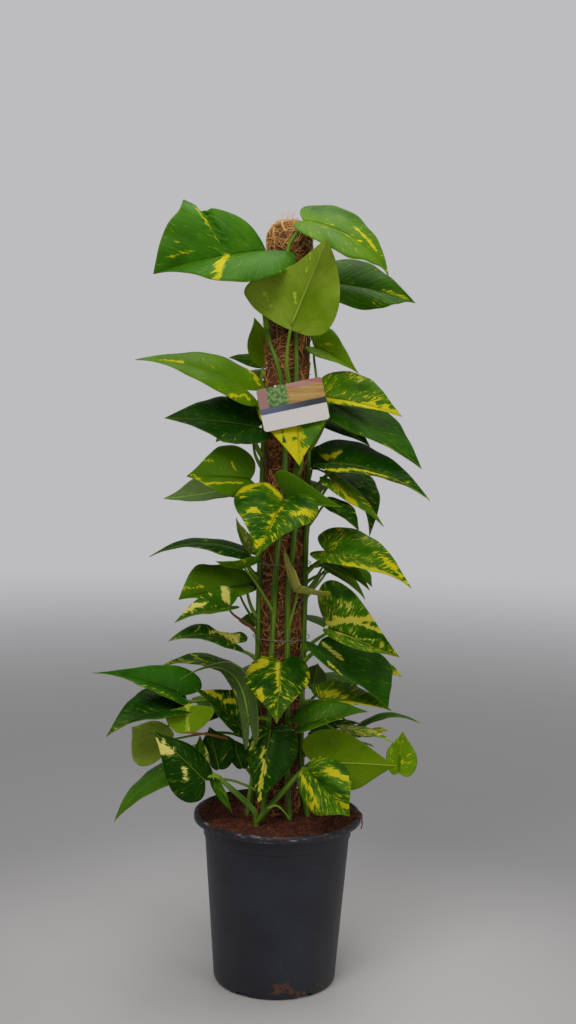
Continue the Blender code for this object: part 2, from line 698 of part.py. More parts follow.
def card(plant, finish):
    """A small card with round corners, fused to the stick that holds it in the coir."""
    wide, high = (side / 2 - CARD_CORNER for side in CARD_SIZE)
    corners = []
    for number, (x, z) in enumerate(((wide, high), (-wide, high), (-wide, -high), (wide, -high))):
        for step in range(CARD_CORNER_STEPS + 1):
            angle = math.pi / 2 * (number + step / CARD_CORNER_STEPS)
            corners.append((x + CARD_CORNER * math.cos(angle), z + CARD_CORNER * math.sin(angle)))
    curve = bpy.data.curves.new("plant_card", "CURVE")
    curve.dimensions = "2D"
    curve.fill_mode = "BOTH"
    curve.extrude = CARD_THICKNESS / 2
    spline = curve.splines.new("POLY")
    spline.points.add(len(corners) - 1)
    for spot, (x, z) in zip(spline.points, corners):
        spot.co = (x, z, 0, 1)
    spline.use_cyclic_u = True
    sheet = add_object("plant_card", curve, plant)
    sheet.rotation_euler = (math.pi / 2 - CARD_TILT, -CARD_ROLL, 0)
    sheet.location = CARD_CENTRE
    bpy.context.view_layer.update()
    sheet = add_object("plant_card", plain_mesh(sheet, "plant_card"), plant, finish)
    x, height = STICK_PLACE
    face = -math.sqrt(COIR_RADIUS**2 - x**2)
    stick = cylinder(
        "card_stick", STICK_RADIUS, (x, face + STICK_DEPTH, height),
        (x, CARD_CENTRE[1], height), STICK_SIDES, plant,
    )
    join = sheet.modifiers.new("join", "BOOLEAN")
    join.operation = "UNION"
    join.solver = "EXACT"
    join.object = stick
    bpy.context.view_layer.update()
    joined = plain_mesh(sheet, "plant_card")
    bpy.data.objects.remove(stick, do_unlink=True)
    joined.materials.clear()
    return add_object("plant_card", joined, plant, finish)


def main():
    start_empty()
    plant = new_collection("potted pothos")
    cutters = new_collection("cutters")
    leaf_green = material("leaf green", (0.06, 0.19, 0.02), 0.35)
    pot(plant, cutters, material("pot plastic", (0.045, 0.048, 0.055), 0.45))
    soil(plant, cutters, material("potting soil", (0.05, 0.018, 0.009), 0.95))
    stake(plant, material("stake wood", (0.42, 0.28, 0.15), 0.8))
    coir(plant, cutters, material("coir", (0.26, 0.10, 0.03), 0.95))
    tie_finish = material("tie thread", (0.55, 0.55, 0.5), 0.3)
    for number, height in enumerate(TIE_HEIGHTS):
        tie(number + 1, height, plant, tie_finish)
    card(plant, material("card", (0.75, 0.7, 0.66), 0.4))
    for name, stems in PLANTS.items():
        vine(name, stems, plant, leaf_green)


if __name__ == "__main__":
    main()
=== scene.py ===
"""The looks of a golden pothos on a coir pole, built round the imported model.

Metres, +Z up, in the model's frame. Every leafy stem is rebuilt with finer blades that
keep the places and sizes of the model's, and the pot, mix, pole, ties and card are
rebuilt with the detail that the real ones show.
"""

import math
import random
from typing import NamedTuple

import bmesh
import bpy
import numpy as np
from mathutils import Matrix, Vector, noise


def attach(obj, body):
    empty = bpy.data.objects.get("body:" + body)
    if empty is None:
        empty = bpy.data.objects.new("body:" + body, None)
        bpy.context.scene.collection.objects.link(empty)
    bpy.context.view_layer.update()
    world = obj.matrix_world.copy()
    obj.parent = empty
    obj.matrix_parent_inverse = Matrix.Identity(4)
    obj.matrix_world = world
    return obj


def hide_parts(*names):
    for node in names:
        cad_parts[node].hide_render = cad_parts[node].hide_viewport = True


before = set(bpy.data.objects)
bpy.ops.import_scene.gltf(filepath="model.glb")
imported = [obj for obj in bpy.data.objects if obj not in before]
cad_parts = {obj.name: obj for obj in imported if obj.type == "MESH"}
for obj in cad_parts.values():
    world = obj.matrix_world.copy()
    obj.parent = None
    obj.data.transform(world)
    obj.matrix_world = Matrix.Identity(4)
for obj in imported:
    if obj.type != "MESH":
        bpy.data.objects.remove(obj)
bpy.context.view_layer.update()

MM = 0.001

# Ragged marks and folds come from noise that follows the clock unless it has a seed
MARK_SEED = 5
noise.seed_set(MARK_SEED)

# The photograph's camera: a 50 mm lens in front of the plant, a little above its middle
LENS = 50.0
SENSOR = 36.0
CAMERA_PLACE = (0.0053, -1.8235, 0.788)
CAMERA_PITCH = -0.0930
CAMERA_ROLL = 0.0215

# Pot
POT_HEIGHT = 0.2235
POT_BASE_RADIUS = 0.080
POT_COLLAR_RADIUS = 0.0965
POT_COLLAR_HEIGHT = 0.020
POT_STEP = 0.0018
POT_RIM_RADIUS = 0.1095
POT_RIM_HEIGHT = 0.0085
POT_MOUTH_RADIUS = 0.1045
POT_WALL = 0.002
POT_FLOOR = 0.0028
POT_FOOT_ROUND = 0.005
POT_LIP = 0.0016
POT_FLOOR_ROUND = 0.003
POT_EDGE_ROUND = 0.0006
POT_SILL_ROUND = 0.002
POT_COLLAR_FOOT_ROUND = 0.0008
POT_UNDERCUT = 0.001
POT_SIDES = 160
COLLAR_FOOT = POT_HEIGHT - POT_RIM_HEIGHT - POT_COLLAR_HEIGHT
DRAIN_COUNT = 6
DRAIN_SIZE = (0.016, 0.020, 0.010)

# Mix, whose rings start under the pole
MIX_TOP = 0.2212
MIX_CROWN = 0.003
MIX_ROUGH = 0.0022
MIX_NECK_RADIUS = POT_COLLAR_RADIUS - POT_WALL - 0.0004
MIX_RADIUS = 0.1026
MIX_CLEARANCE = 0.0003
MIX_FIRST_RING = 0.16
MIX_RINGS = 54
MIX_SIDES = 220

# Pole
STAKE_RADIUS = 0.0125
STAKE_CLEARANCE = 0.0003
STAKE_TOP = 0.955
COIR_RADIUS = 0.026
COIR_BOTTOM = 0.165
COIR_TOP = 0.985
COIR_DOME = 0.019
COIR_SHOULDER = COIR_TOP - COIR_DOME
FELT_DEPTH = 0.0014
FELT_LUMP = 0.0009
FELT_ROWS = 380
FELT_SIDES = 120
DOME_ROWS = 12

# Strands tangled round the pole's top, and fine ones that stand up from it. Each takes
# steps of one length, turns by its own curl, and rises or sinks a little at each step.
TANGLE_COUNT = 170
TANGLE_DEPTH = 0.045
TANGLE_STEPS = 12
TANGLE_STEP = 0.0032
TANGLE_CURL = 28
TANGLE_LIFT = 0.0022
TANGLE_WANDER = 0.0003
TANGLE_RADII = (0.0009, 0.0005)
# A strand is painted paler the further out from the felt it lies, and darker close to it: painted shade
# deep in the tangle
TANGLE_LIFT_PAINTED_LIGHT = 180
STRAY_COUNT = 26
STRAY_REACH = (0.012, 0.026)
STRAY_RADII = (0.00026, 0.0001)


class Scatter(NamedTuple):
    """How scraps lie on a surface.

    density is how many there are to a square metre. size is the smallest and the largest
    scale that one gets, and tilt is how far it may lean, in radians.
    """

    density: float
    seed: int
    size: tuple
    tilt: float


# Loose coir on the pole, at its frayed top and on the mix: a fibre's length, radius and bow
POLE_FIBRE = (0.030, 0.00042, 0.0035)
POLE_SCATTER = Scatter(24000.0, 3, (0.5, 1.3), 0.22)
FRAY_FIBRE = (0.024, 0.00042, 0.0045)
FRAY_SCATTER = Scatter(9000.0, 8, (0.5, 1.2), 0.45)
MIX_FIBRE = (0.014, 0.0002, 0.002)
MIX_SCATTER = Scatter(22000.0, 6, (0.4, 1.2), 0.5)
CRUMB_SCATTER = Scatter(90000.0, 5, (0.0016, 0.0052), 0.6)

# Strands over the pot's rim: where round the pot they cross it, and how far they fall
HANGING_COUNT = 9
HANGING_TURN = (-0.22, 0.05)
HANGING_FALL = (0.006, 0.022)
HANGING_RADII = (0.0006, 0.0003)

# Ties
TIE_RADIUS = 0.0365
TIE_THREAD = 0.0005
TIE_STEPS = 96
TIE_SWAY = 0.0004
TIE_RUN = 0.002
TIE_HEIGHTS = (0.369, 0.456, 0.553, 0.637, 0.722)

# Stems, which swell to a knuckle at each petiole
STEM_RADIUS = 0.004
STEM_TAPER = 0.35
STEM_SLIM = 0.93
KNUCKLE_SWELL = 0.22
KNUCKLE_REACH = 0.006

# Petioles, thicker on blades longer than the common one, and the rib under each blade
PETIOLE_RADIUS_LOW = 0.0024
PETIOLE_RADIUS_HIGH = 0.0014
PETIOLE_SIZES = (0.85, 1.4)
COMMON_LENGTH = 90.0
PETIOLE_OUT = 0.3
PETIOLE_RISE = 0.3
PETIOLE_UNDER = 0.1
PETIOLE_SHEATH = 0.0009
SHEATH_SHARE = 0.16
RIB_RADIUS = 0.0012
RIB_END = 0.93
RIB_TAPER = 0.15
RIB_CREAM = 0.6

# Blades: their mesh's steps, the pleats at their veins and the waves of their margins.
# FOOT_WEIGHT is how little a margin point's last value counts towards its spacing.
BLADE_THICKNESS = 0.0007
STATION_STEP = 0.0026
ACROSS_STEP = 0.0034
FOOT_WEIGHT = 0.001
WELD_DISTANCE = 0.00001
VEIN_SPACING = 0.0085
VEINS_BETWEEN = 40
PLEAT_DEPTH = 0.00012
FULLER = 0.16
WAVE_SHARE = 0.028
WAVE_PHASE = 2.4
WAVE_LONG = 0.42
WAVE_SHORT = 0.19

# Their wax, how much yellow and green the marbling and a mark bring, and how fine, how
# ragged and how soft a mark's edge is
WAX_TINT = (0.85, 1.0, 0.45, 1)
GOLD_FLOOR = -0.14
GOLD_SPAN = 0.42
GOLD_MARK = 0.24
GREEN_MARK = 0.12
MARK_RAG = 130.0
MARK_SWAY = 0.7
MARK_SOFTNESS = 0.62

# Aerial roots: the lowest knuckle with any, how far one turns round the pole and drops,
# and how far from the axis its middle and its end lie
ROOT_LOWEST = 300
ROOT_TURN = (0.22, 0.5)
ROOT_DROP = (0.006, 0.022)
ROOT_DISTANCES = (0.031, 0.0255)
ROOT_RADII = (0.0011, 0.0006)

# The small shoot at the low fork, in millimetres
SPROUT = ((-12, -89, 254), (-2, -93, 259), (7, -96, 254), (15, -98, 244))
SPROUT_RADII = (0.0017, 0.0005)

# Studio
# Painted shade: between these distances from the plant's axis the floor turns darker
FLOOR_PAINTED_SHADE = (0.15, 0.7)
FLOOR_FADE = (0.8, 4.2)
WORLD_COLOUR = (0.98, 0.975, 1.0, 1)
WORLD_LIGHT = 0.22
WORLD_SEEN = 0.52
LIGHTS = (
    ("key", (-0.7, -1.9, 2.5), (0, 0, 0.5), (1.4, 1.0), 34),
    ("fill", (1.7, -1.7, 1.3), (0, 0, 0.5), (1.2, 1.4), 12),
    ("top", (0.2, 0.2, 2.5), (0, 0, 0.4), (1.4, 1.4), 22),
)

# Card
CARD_SIZE = (0.082, 0.053)
CARD_CORNER = 0.004
CARD_THICKNESS = 0.0008
CARD_CENTRE = Vector((0.0085, -0.0745, 0.7575))
CARD_TILT = math.radians(6)
CARD_ROLL = math.radians(13)
STICK_RADIUS = 0.0014
STICK_PLACE = (-0.0140, 0.779)
STICK_DEPTH = 0.006


class Leaf(NamedTuple):
    """A blade and its petiole, in millimetres, read from the photograph or guessed at the back.

    root is the height where the petiole leaves its stem. base is where it meets the
    blade, tip is the blade's point, and left and right are the widest points of its two
    halves, seen from above with the tip ahead. arch is the midrib's rise as a share of
    the blade's length, and bulge is the same for each half across its width. via is a
    point that the petiole passes.
    """

    root: float
    base: tuple
    tip: tuple
    left: tuple
    right: tuple
    arch: float = 0.05
    bulge: float = 0.08
    via: tuple = ()


# The leaves of each stem
LEAVES = {
    "front_left": (
        Leaf(
            850, (-29, -44, 946), (-166, -62, 913), (-52, -94, 903), (-129, -36, 1006), 0.06,
            via=(-34, -40, 905),
        ),
        Leaf(620, (0, -76, 640), (-30, -146, 578), (41, -96, 625), (-59, -78, 646), 0.05, bulge=0.16),
        Leaf(490, (-49, -68, 553), (-81, -108, 566), (-63, -86, 556), (-32, -72, 568), 0.05),
        Leaf(400, (1, -70, 435), (-3, -130, 372), (37, -76, 420), (-44, -74, 419), 0.06, bulge=0.14),
        Leaf(350, (-38, -62, 357), (-123, -92, 416), (-30, -92, 394), (-54, -38, 369), 0.4),
        Leaf(250, (-81, -60, 280), (-57, -70, 242), (-68, -66, 272), (-82, -62, 268), 0.03),
    ),
    "front_right": (
        Leaf(860, (17, -34, 984), (123, -47, 918), (44, 8, 1010), (36, -80, 954), 0.13, via=(-2, -38, 945)),
        Leaf(730, (2, -62, 849), (45, -98, 957), (62, -72, 886), (-56, -50, 892), 0.04, via=(0, -44, 805)),
        Leaf(665, (13, -46, 765), (18, -86, 683), (53, -58, 755), (-37, -44, 755), 0.03),
        Leaf(600, (7, -50, 640), (73, -72, 632), (-2, -52, 675), (19, -62, 635), 0.14),
        Leaf(470, (15, -52, 522), (23, -108, 538), (1, -58, 576), (61, -62, 521), 0.0, bulge=0.0),
        Leaf(320, (-11, -62, 346), (-24, -92, 261), (24, -60, 323), (-38, -62, 326), 0.05, bulge=0.14),
        Leaf(350, (30, -66, 353), (112, -62, 373), (41, -50, 380), (42, -88, 356), 0.05),
    ),
    "left": (
        Leaf(745, (-50, -50, 774), (-186, -70, 808), (-73, -84, 766), (-58, -14, 805), 0.09),
        Leaf(690, (-34, -46, 728), (-150, -62, 737), (-55, -82, 708), (-61, -26, 763), 0.03),
        Leaf(615, (-43, -34, 661), (-121, -72, 666), (-64, -75, 642), (-67, -30, 704), 0.04),
        Leaf(558, (-41, -26, 567), (-60, -40, 613), (-51, -22, 576), (-36, -40, 584), 0.04),
        Leaf(530, (-47, -28, 567), (-167, -56, 563), (-62, -66, 566), (-65, 8, 575), 0.12),
        Leaf(480, (-43, -10, 523), (-131, -40, 507), (-66, -44, 511), (-76, -6, 551), 0.04),
        Leaf(460, (-64, -58, 503), (-132, -90, 486), (-71, -88, 501), (-76, -44, 526), 0.06),
        Leaf(425, (-58, -46, 454), (-140, -80, 461), (-68, -75, 454), (-58, -31, 470), 0.12),
        Leaf(360, (-127, -38, 383), (-236, -62, 415), (-139, -82, 389), (-121, -22, 416), 0.08),
        Leaf(350, (-124, -52, 370), (-215, -86, 340), (-134, -90, 368), (-159, -30, 392), 0.1),
        Leaf(300, (-115, -84, 346), (-114, -66, 380), (-82, -74, 372), (-142, -80, 366), 0.05),
        Leaf(340, (-50, -34, 342), (-107, -48, 393), (-65, -60, 349), (-44, -18, 377), 0.06),
        Leaf(290, (-141, -40, 286), (-207, -62, 224), (-129, -66, 281), (-162, -16, 282), 0.08),
        Leaf(290, (-76, -40, 289), (-89, -44, 345), (-97, -38, 313), (-56, -36, 320), 0.05),
        Leaf(300, (-47, -30, 288), (-60, -34, 328), (-65, -30, 305), (-37, -28, 309), 0.05),
    ),
    "right": (
        Leaf(760, (34, -14, 829), (91, -18, 797), (55, -4, 852), (36, -34, 818), 0.08),
        Leaf(745, (45, -34, 767), (144, -60, 745), (80, -14, 799), (55, -50, 759), 0.05),
        Leaf(700, (55, -22, 758), (171, -46, 680), (110, 10, 759), (59, -50, 736), 0.05),
        Leaf(640, (57, -36, 684), (181, -66, 642), (78, 2, 711), (69, -76, 676), 0.09),
        Leaf(615, (59, -34, 663), (126, -46, 606), (74, -22, 665), (61, -52, 649), 0.05),
        Leaf(600, (50, -46, 635), (94, -66, 602), (79, -40, 635), (54, -66, 629), 0.05),
        Leaf(540, (53, -46, 574), (160, -78, 534), (85, -18, 600), (63, -88, 563), 0.09),
        Leaf(515, (55, -24, 560), (111, -38, 524), (79, -18, 562), (64, -42, 550), 0.06),
        Leaf(510, (57, -8, 550), (107, -12, 508), (74, 2, 549), (62, -18, 542), 0.08),
        Leaf(440, (60, -48, 476), (148, -82, 447), (69, -44, 536), (83, -88, 461), 0.05),
        Leaf(425, (47, -26, 449), (138, -46, 375), (125, -12, 439), (51, -64, 436), 0.04),
        Leaf(300, (43, -54, 305), (150, -58, 303), (78, -62, 270), (62, -50, 347), 0.05),
        Leaf(350, (82, -18, 339), (148, -32, 326), (95, 0, 340), (91, -38, 337), 0.06),
        Leaf(370, (52, -24, 379), (144, -34, 368), (69, -2, 399), (63, -50, 378), 0.06),
    ),
    "back_right": (
        Leaf(850, (43, 20, 912), (163, 20, 889), (79, 45, 944), (94, -2, 879), 0.06),
        Leaf(700, (44, 12, 741), (109, 8, 704), (70, 28, 752), (50, 0, 727), 0.06),
        Leaf(650, (35, 26, 674), (67, 40, 709), (30, 30, 694), (64, 30, 685), 0.05),
        Leaf(625, (53, 12, 670), (111, 0, 589), (102, 36, 669), (65, -18, 664), 0.2),
        Leaf(520, (81, 18, 547), (117, 14, 521), (106, 24, 544), (90, 8, 537), 0.05),
        Leaf(430, (84, 22, 430), (160, 16, 402), (120, 32, 427), (93, 6, 415), 0.05),
        Leaf(290, (155, -26, 286), (160, -18, 338), (138, -32, 307), (179, -24, 298), -0.05),
        Leaf(360, (111, 10, 337), (185, 4, 343), (117, 26, 344), (115, -4, 342), 0.16),
        Leaf(340, (43, 6, 330), (107, 14, 339), (60, 22, 338), (60, -6, 331), 0.05),
        Leaf(400, (42, 14, 383), (49, 26, 416), (60, 18, 396), (35, 22, 405), 0.05),
        Leaf(350, (109, 16, 325), (144, 24, 328), (123, 28, 329), (122, 10, 323), 0.05),
        Leaf(860, (45, 50, 905), (112, 118, 884), (25, 85, 894), (80, 30, 895), 0.08),
        Leaf(500, (62, 60, 545), (112, 118, 522), (42, 88, 536), (92, 44, 535), 0.08),
        Leaf(350, (62, 62, 392), (122, 120, 374), (42, 96, 382), (95, 41, 382), 0.08),
        Leaf(270, (66, 70, 298), (132, 122, 280), (50, 105, 286), (97, 46, 290), 0.08),
    ),
    "back": (
        Leaf(880, (-48, 46, 934), (-112, 104, 926), (-80, 26, 926), (-32, 80, 925), 0.08),
        Leaf(820, (-4, 74, 858), (4, 162, 832), (-27, 86, 849), (21, 82, 851), 0.08),
        Leaf(760, (-22, 76, 800), (-62, 158, 776), (-59, 70, 792), (6, 100, 788), 0.08),
        Leaf(700, (30, 74, 752), (68, 152, 726), (-1, 99, 740), (69, 65, 742), 0.08),
        Leaf(600, (20, 76, 655), (48, 164, 622), (-8, 95, 644), (55, 75, 645), 0.08),
        Leaf(510, (4, 76, 560), (10, 158, 526), (-19, 86, 551), (28, 83, 551), 0.08),
        Leaf(420, (26, 76, 470), (60, 160, 440), (-6, 99, 458), (65, 71, 459), 0.08),
        Leaf(350, (-12, 80, 402), (-30, 172, 372), (-52, 82, 391), (24, 97, 390), 0.08),
        Leaf(290, (4, 86, 326), (12, 184, 290), (-36, 99, 313), (46, 93, 314), 0.08),
    ),
    "back_left": (
        Leaf(770, (-27, 34, 810), (-44, 46, 867), (-51, 30, 822), (-15, 46, 826), 0.05),
        Leaf(790, (-33, 44, 810), (-78, 84, 815), (-41, 50, 802), (-41, 62, 819), 0.05),
        Leaf(610, (-60, 12, 647), (-155, -2, 632), (-82, 34, 679), (-72, -14, 637), 0.03),
        Leaf(500, (-31, 22, 473), (-57, 44, 467), (-39, 28, 462), (-37, 34, 480), 0.05),
        Leaf(500, (-31, 16, 527), (-67, 10, 511), (-39, 2, 513), (-43, 22, 535), 0.05),
        Leaf(400, (-56, 12, 405), (-160, -4, 410), (-71, -16, 408), (-75, 38, 417), 0.13),
        Leaf(340, (-85, -14, 357), (-147, -30, 339), (-94, -30, 348), (-97, 0, 359), 0.05),
        Leaf(300, (-140, -30, 323), (-188, -42, 342), (-153, -20, 344), (-176, -48, 293), 0.05),
        Leaf(670, (-42, 62, 712), (-96, 132, 700), (-79, 47, 703), (-18, 93, 702), 0.08),
        Leaf(600, (-54, 56, 648), (-104, 120, 640), (-86, 44, 639), (-34, 84, 641), 0.08),
        Leaf(460, (-58, 52, 510), (-98, 106, 500), (-85, 42, 501), (-40, 75, 505), 0.08),
        Leaf(320, (-64, 62, 360), (-124, 122, 340), (-98, 41, 349), (-43, 96, 350), 0.08),
        Leaf(260, (-66, 74, 292), (-126, 132, 270), (-98, 54, 283), (-47, 106, 281), 0.08),
    ),
    "low_left": (
        Leaf(0, (-92, -74, 284), (-157, -90, 350), (-126, -88, 266), (-98, -66, 316), 0.05),
        Leaf(0, (-101, -52, 291), (-100, -56, 337), (-112, -56, 304), (-88, -50, 301), 0.05),
    ),
    "low_right": (
        Leaf(0, (36, -80, 303), (89, -118, 255), (83, -86, 309), (38, -110, 261), 0.05, bulge=0.14),
    ),
}

# Where each stem runs: azimuth round the pole in degrees, distance from the pole's axis
# and height in millimetres. Azimuth 0 is +X, and -90 faces the front.
STEM_ROUTES = {
    "left": (
        (-152, 52, 180), (-155, 43, 228), (-160, 33, 290), (-162, 31, 345),
        (-164, 31, 500), (-160, 31, 560), (-158, 31, 640), (-155, 31, 700), (-152, 31, 762),
    ),
    "front_left": (
        (-115, 46, 180), (-118, 40, 228), (-116, 33, 285), (-117, 31, 345),
        (-105, 31, 553), (-92, 31, 640), (-90, 31, 687), (-98, 31, 770), (-112, 31, 806),
        (-132, 33, 834), (-128, 42, 852),
    ),
    "front_right": (
        (-66, 46, 180), (-68, 40, 228), (-70, 33, 285), (-70, 31, 345), (-76, 31, 510),
        (-66, 31, 570), (-60, 31, 640), (-62, 31, 700), (-66, 31, 760), (-68, 31, 820),
        (-74, 31, 868),
    ),
    "right": (
        (-30, 52, 180), (-28, 43, 228), (-25, 33, 290), (-24, 31, 345), (-20, 31, 500),
        (-22, 31, 560), (-16, 31, 640), (-18, 31, 700), (-16, 31, 772),
    ),
    "back_right": (
        (35, 50, 180), (32, 40, 230), (30, 31, 295), (33, 31, 345), (28, 31, 600),
        (34, 31, 740), (30, 31, 868),
    ),
    "back": (
        (88, 48, 180), (92, 40, 230), (90, 31, 295), (86, 31, 345), (93, 31, 600),
        (90, 31, 740), (96, 31, 890),
    ),
    "back_left": (
        (150, 50, 180), (148, 40, 230), (150, 31, 295), (146, 31, 345), (150, 31, 600),
        (148, 31, 740), (152, 31, 800),
    ),
    "low_left": ((-114, 68, 180), (-114, 67, 226), (-117, 74, 248), (-139, 98, 284)),
    "low_right": ((-114, 67, 226), (-98, 66, 250), (-66, 78, 300)),
}

# Stems of one plant are one solid
PLANTS = {
    "vine_left": ("left",),
    "vine_front_left": ("front_left",),
    "vine_front_right": ("front_right",),
    "vine_right": ("right",),
    "vine_back_right": ("back_right",),
    "vine_back": ("back",),
    "vine_back_left": ("back_left",),
    "vine_low": ("low_left", "low_right"),
}


class Mark(NamedTuple):
    """A patch of colour on a blade: a stroke between two of its places.

    A place is the share of the blade's length from the base, and the share of the half's
    width, above 0 on the left. width is the stroke's width in millimetres. gold is how
    yellow the patch is, and below 0 it stays green and grows darker.
    """

    start: tuple
    end: tuple
    width: float
    gold: float = 1.0


class Look(NamedTuple):
    """How a blade is coloured and how its margin waves.

    green runs from 0, dark, to 1, light. marble is how much yellow marbling it has, and
    cream turns that yellow pale, and a lower side grey. wave is the size of the margin's
    waves. left and right are the forms of the halves: how much fuller it is towards the
    tip than a plain heart, and how far towards the tip its widest place lies, as a share
    of the length, or else an outline of its own. folds are strokes that dent the blade by
    as many millimetres as their last value. warm turns the green from bluish to yellowish.
    """

    green: float = 0.35
    marble: float = 0.25
    cream: float = 0.3
    marks: tuple = ()
    wave: float = 1.0
    left: tuple = (0.0, 0.0)
    right: tuple = (0.0, 0.0)
    folds: tuple = ()
    warm: float = 0.5


# Outlines of single halves, given as OUTLINE is. PEAKED and LONG_LOBE are the topmost left
# leaf's, one with its corner turned up. SHORT_LOBE and DEEP_LOBE are those of the broad
# leaf that turns its lower side forward above the card, and HUMPED is one half of a leaf
# low on the left, with a hump near its tip.
PEAKED = (
    (0.00, 0.00, 0.00), (-0.05, 0.17, 0.00), (-0.09, 0.39, 0.00), (-0.08, 0.59, 0.00),
    (0.01, 0.75, 0.00), (0.10, 0.82, 0.04), (0.12, 0.94, 0.06), (0.13, 1.03, 0.07),
    (0.14, 1.03, 0.08), (0.30, 0.80, 0.16), (0.62, 0.49, 0.40), (0.90, 0.13, 0.75),
    (1.00, 0.00, 1.00),
)
LONG_LOBE = (
    (0.00, 0.00, 0.00), (-0.20, 0.08, 0.00), (-0.28, 0.28, 0.00), (-0.27, 0.62, 0.00),
    (-0.09, 0.90, 0.00), (0.13, 1.00, 0.00), (0.40, 0.80, 0.12), (0.66, 0.42, 0.40),
    (0.86, 0.14, 0.70), (1.00, 0.00, 1.00),
)
SHORT_LOBE = (
    (0.00, 0.00, 0.00), (-0.01, 0.27, 0.00), (0.02, 0.62, 0.00), (0.08, 0.86, 0.00),
    (0.15, 1.00, 0.00), (0.27, 0.96, 0.08), (0.43, 0.70, 0.20), (0.58, 0.41, 0.40),
    (0.74, 0.24, 0.60), (0.92, 0.08, 0.85), (1.00, 0.00, 1.00),
)
DEEP_LOBE = (
    (0.00, 0.00, 0.00), (-0.10, 0.30, 0.00), (-0.20, 0.64, 0.00), (-0.24, 0.98, 0.00),
    (-0.16, 1.10, 0.00), (-0.02, 1.10, 0.00), (0.18, 0.98, 0.04), (0.48, 0.66, 0.25),
    (0.76, 0.32, 0.55), (0.96, 0.05, 0.85), (1.00, 0.00, 1.00),
)
HUMPED = (
    (0.00, 0.00, 0.00), (-0.12, 0.35, 0.00), (-0.10, 0.75, 0.00), (0.02, 0.85, 0.00),
    (0.14, 0.45, 0.00), (0.34, 0.38, 0.10), (0.58, 0.90, 0.35), (0.76, 1.15, 0.60),
    (0.88, 0.75, 0.78), (0.96, 0.25, 0.90), (1.00, 0.00, 1.00),
)

